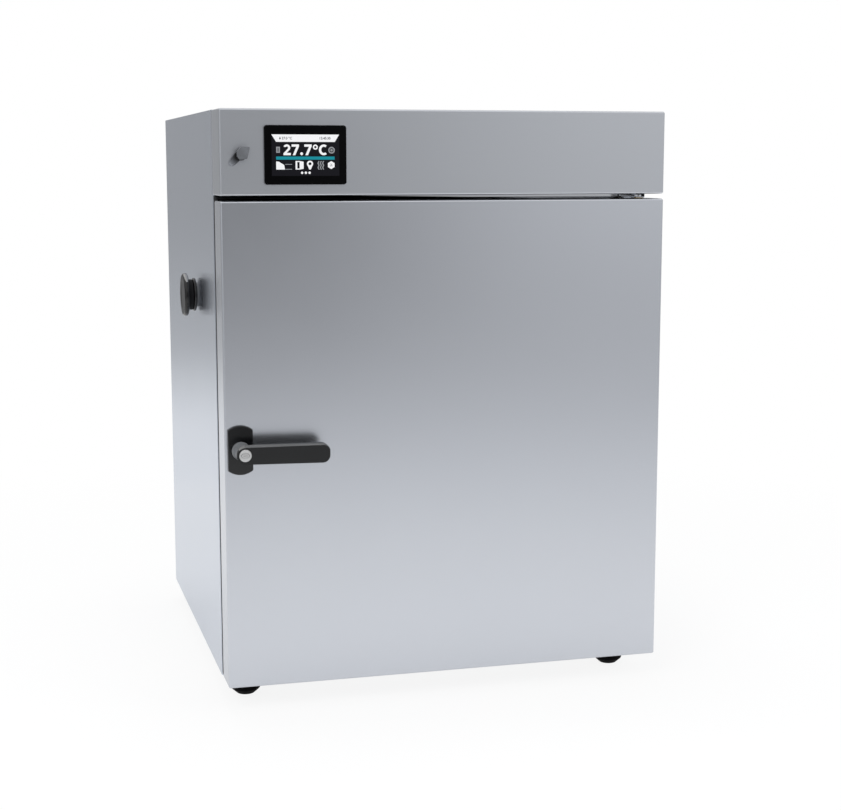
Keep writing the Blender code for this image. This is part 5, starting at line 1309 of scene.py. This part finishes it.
# %% Probe
low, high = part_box("temperature_probe")
centre = (low + high) / 2
radius = (high.x - low.x) / 2
waist, deep = radius - 0.0004, high.y - low.y
tip = [(0, 0, 0), (radius, 0, radius * 0.95), (radius, 0.0300, 0.0002)]
groove = [(waist, 0.0306, 0.0002), (waist, 0.0318, 0.0002)]
stem = [(radius, 0.0324, 0.0002), (radius, deep, 0), (0, deep, 0)]
bm = spun(tip + groove + stem, (centre.x, low.y, centre.z), Y_AXIS, 32)
new_piece("probe_sheath", bm, fitting_steel, "cabinet", ["temperature_probe"])
baffle_low, baffle_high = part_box("air_baffle")
NUT, WASHER = 0.0072, 0.0090
washer_front = baffle_low.y - 0.0010
nut = disc(centre.x, centre.z, NUT, 6)
washer = disc(centre.x, centre.z, WASHER, 36)
bm = thick_outline(nut, baffle_low.y - 0.0056, washer_front, 0.0006)
bm = joined(bm, thick_outline(washer, washer_front, baffle_low.y - 0.0001, 0.0003))
new_piece("probe_gland", bm, fitting_steel, "cabinet", sharp=40)

# %% [markdown]
# ## Screws
# One screw head is modelled and set down many times: a dome with a six-sided socket. The socket's corners
# come from the distance to the side of a hexagon, so the same rings serve for the round dome and for the
# socket. Screws that hold the same piece are one object.

# %% Screw head
DOME = [(1.00, 0.00), (1.00, 0.22), (0.88, 0.66), (0.68, 0.93)]
SOCKET = [(0.46, 1.00), (0.43, 0.35)]
HEAD_RISE = 0.55


def button_screw(bm, at, axis, radius, steps=24):
    """Adds a domed head with a six-sided socket, standing on a point."""
    turn = Vector(Z_AXIS).rotation_difference(Vector(axis)).to_matrix()
    rings = []
    for share, height in DOME + SOCKET:
        ring = []
        for k in range(steps):
            angle = math.tau * k / steps
            reach = share * radius
            if (share, height) in SOCKET:
                reach /= math.cos((angle + math.pi / 6) % (math.pi / 3) - math.pi / 6)
            rise = height * (HEAD_RISE * radius)
            place = Vector((reach * math.cos(angle), reach * math.sin(angle), rise))
            ring.append(bm.verts.new(Vector(at) + turn @ place))
        rings.append(ring)
    skin(bm, rings)
    bm.faces.new(rings[0])
    bm.faces.new(rings[-1])


def add_screws(name, places, axis, radius, finish=screw_zinc):
    bm = bmesh.new()
    for place in places:
        button_screw(bm, place, axis, radius)
    new_piece(name, bm, finish, "cabinet", sharp=40)
    print("%-14s %2d screws" % (name, len(places)))


# %% Set the screws
PANEL_EDGE, BAFFLE_EDGE, INLET_EDGE, FAN_HOLE = 0.010, 0.014, 0.005, 0.0358
BAFFLE_HEIGHTS, HINGE_HOLES = (0.145, 0.617), (0.009, 0.027)
low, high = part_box("back_panel")
back = high.y
left, right = low.x + PANEL_EDGE, high.x - PANEL_EDGE
places = []
for k in range(5):
    z = low.z + PANEL_EDGE + (high.z - low.z - 2 * PANEL_EDGE) * k / 4
    places += [(left, back, z), (right, back, z)]
for k in range(1, 4):
    x = left + (high.x - low.x - 2 * PANEL_EDGE) * k / 4
    places += [(x, back, low.z + PANEL_EDGE), (x, back, high.z - PANEL_EDGE)]
add_screws("back_screws", places, Y_AXIS, 0.0042)
fan = joint_place("exhaust_spin")
places = [(fan.x + FAN_HOLE * a, back, fan.z + FAN_HOLE * b) for a in (-1, 1) for b in (-1, 1)]
add_screws("exhaust_screws", places, Y_AXIS, 0.0034)
low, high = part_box("mains_inlet")
places = [(x, high.y, (low.z + high.z) / 2) for x in (low.x + INLET_EDGE, high.x - INLET_EDGE)]
add_screws("inlet_screws", places, Y_AXIS, 0.0028)
left, right = baffle_low.x + BAFFLE_EDGE, baffle_high.x - BAFFLE_EDGE
places = [(x, baffle_low.y, z) for x in (left, right) for z in BAFFLE_HEIGHTS]
add_screws("baffle_screws", places, (0, -1, 0), 0.0050, fitting_steel)
low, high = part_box("hinge_plate_lower")
add_screws("hinge_screws", [(low.x + x, high.y - 0.014, low.z) for x in HINGE_HOLES], DOWN, 0.0042)

# %% [markdown]
# ## Back fittings
# The mains socket has three metal blades, the switch carries the usual bar and ring for on and off, and
# the outlet of the fresh-air duct has a moulded ring.

# %% Blades of the socket
low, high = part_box("mains_inlet")
middle = (low + high) / 2
BLADE_TIP, BLADE_ROOT = 0.33925, low.y + 0.0041
HALF_WIDE, HALF_TALL = 0.00115, 0.00215
BLADE_STEP, BLADE_STAGGER = 0.007, 0.002
bm = bmesh.new()
for k, step in ((-1, -1), (0, 1), (1, -1)):
    x, z = middle.x + BLADE_STEP * k, middle.z + BLADE_STAGGER * step
    blade = round_box(x - HALF_WIDE, z - HALF_TALL, x + HALF_WIDE, z + HALF_TALL, 0.0005, 3)
    bm = joined(bm, thick_outline(blade, BLADE_TIP, BLADE_ROOT, 0.0006))
new_piece("mains_blades", bm, bush_brass, "cabinet")

# %% Marks of the switch
MARK_LIFT = 0.0001


def mark_on_rocker(bm, outline, middle, slope):
    """A thin raised mark; the outline is (across, up) on a face that leans back by a slope."""
    lift = Vector((0, math.cos(slope), math.sin(slope))) * MARK_LIFT
    up = Vector((0, -math.sin(slope), math.cos(slope)))
    bm.faces.new([bm.verts.new(middle + Vector((a, 0, 0)) + up * b + lift) for a, b in outline])


low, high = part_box("switch_rocker")
axis = joint_place("rocker_tilt")
SLOPE = math.radians(20)
centre_x = (low.x + high.x) / 2
lower = Vector((centre_x, high.y, (low.z + axis.z) / 2))
upper = Vector((centre_x, high.y - math.tan(SLOPE) * (high.z - axis.z) / 2, (high.z + axis.z) / 2))
bm = bmesh.new()
for outline in half_rings(0, 0, (0.0022, 0.0022), (0.0015, 0.0015), 16):
    mark_on_rocker(bm, outline, lower, 0)
mark_on_rocker(bm, round_box(-0.0004, -0.0022, 0.0004, 0.0022, 0.0002, 3), upper, SLOPE)
new_piece("switch_marks", bm, lens_white, "rocker", even=False)

# %% Ring of the air outlet
OUTLET_RADIUS = 0.012
FROM_LEVER = Vector((0.0226, 0, -0.0226))
inner, outer = OUTLET_RADIUS - 0.0006, OUTLET_RADIUS + 0.0060
duct = joint_place("vent_turn") + FROM_LEVER
ring = [(inner, 0.0, 0), (outer, 0.0, 0.0004), (outer, 0.0010, 0.0006)]
ring += [(OUTLET_RADIUS + 0.0016, 0.0026, 0.0008), (inner, 0.0026, 0.0006)]
new_piece("outlet_ring", spun(ring, (duct.x, back, duct.z), Y_AXIS, 48), black_moulding, "cabinet")

# %% [markdown]
# ## Last step
# We print the box of what shows.

# %% Measure and finish
low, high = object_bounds()
print("shown", [round(v, 4) for v in (*low, *high)])
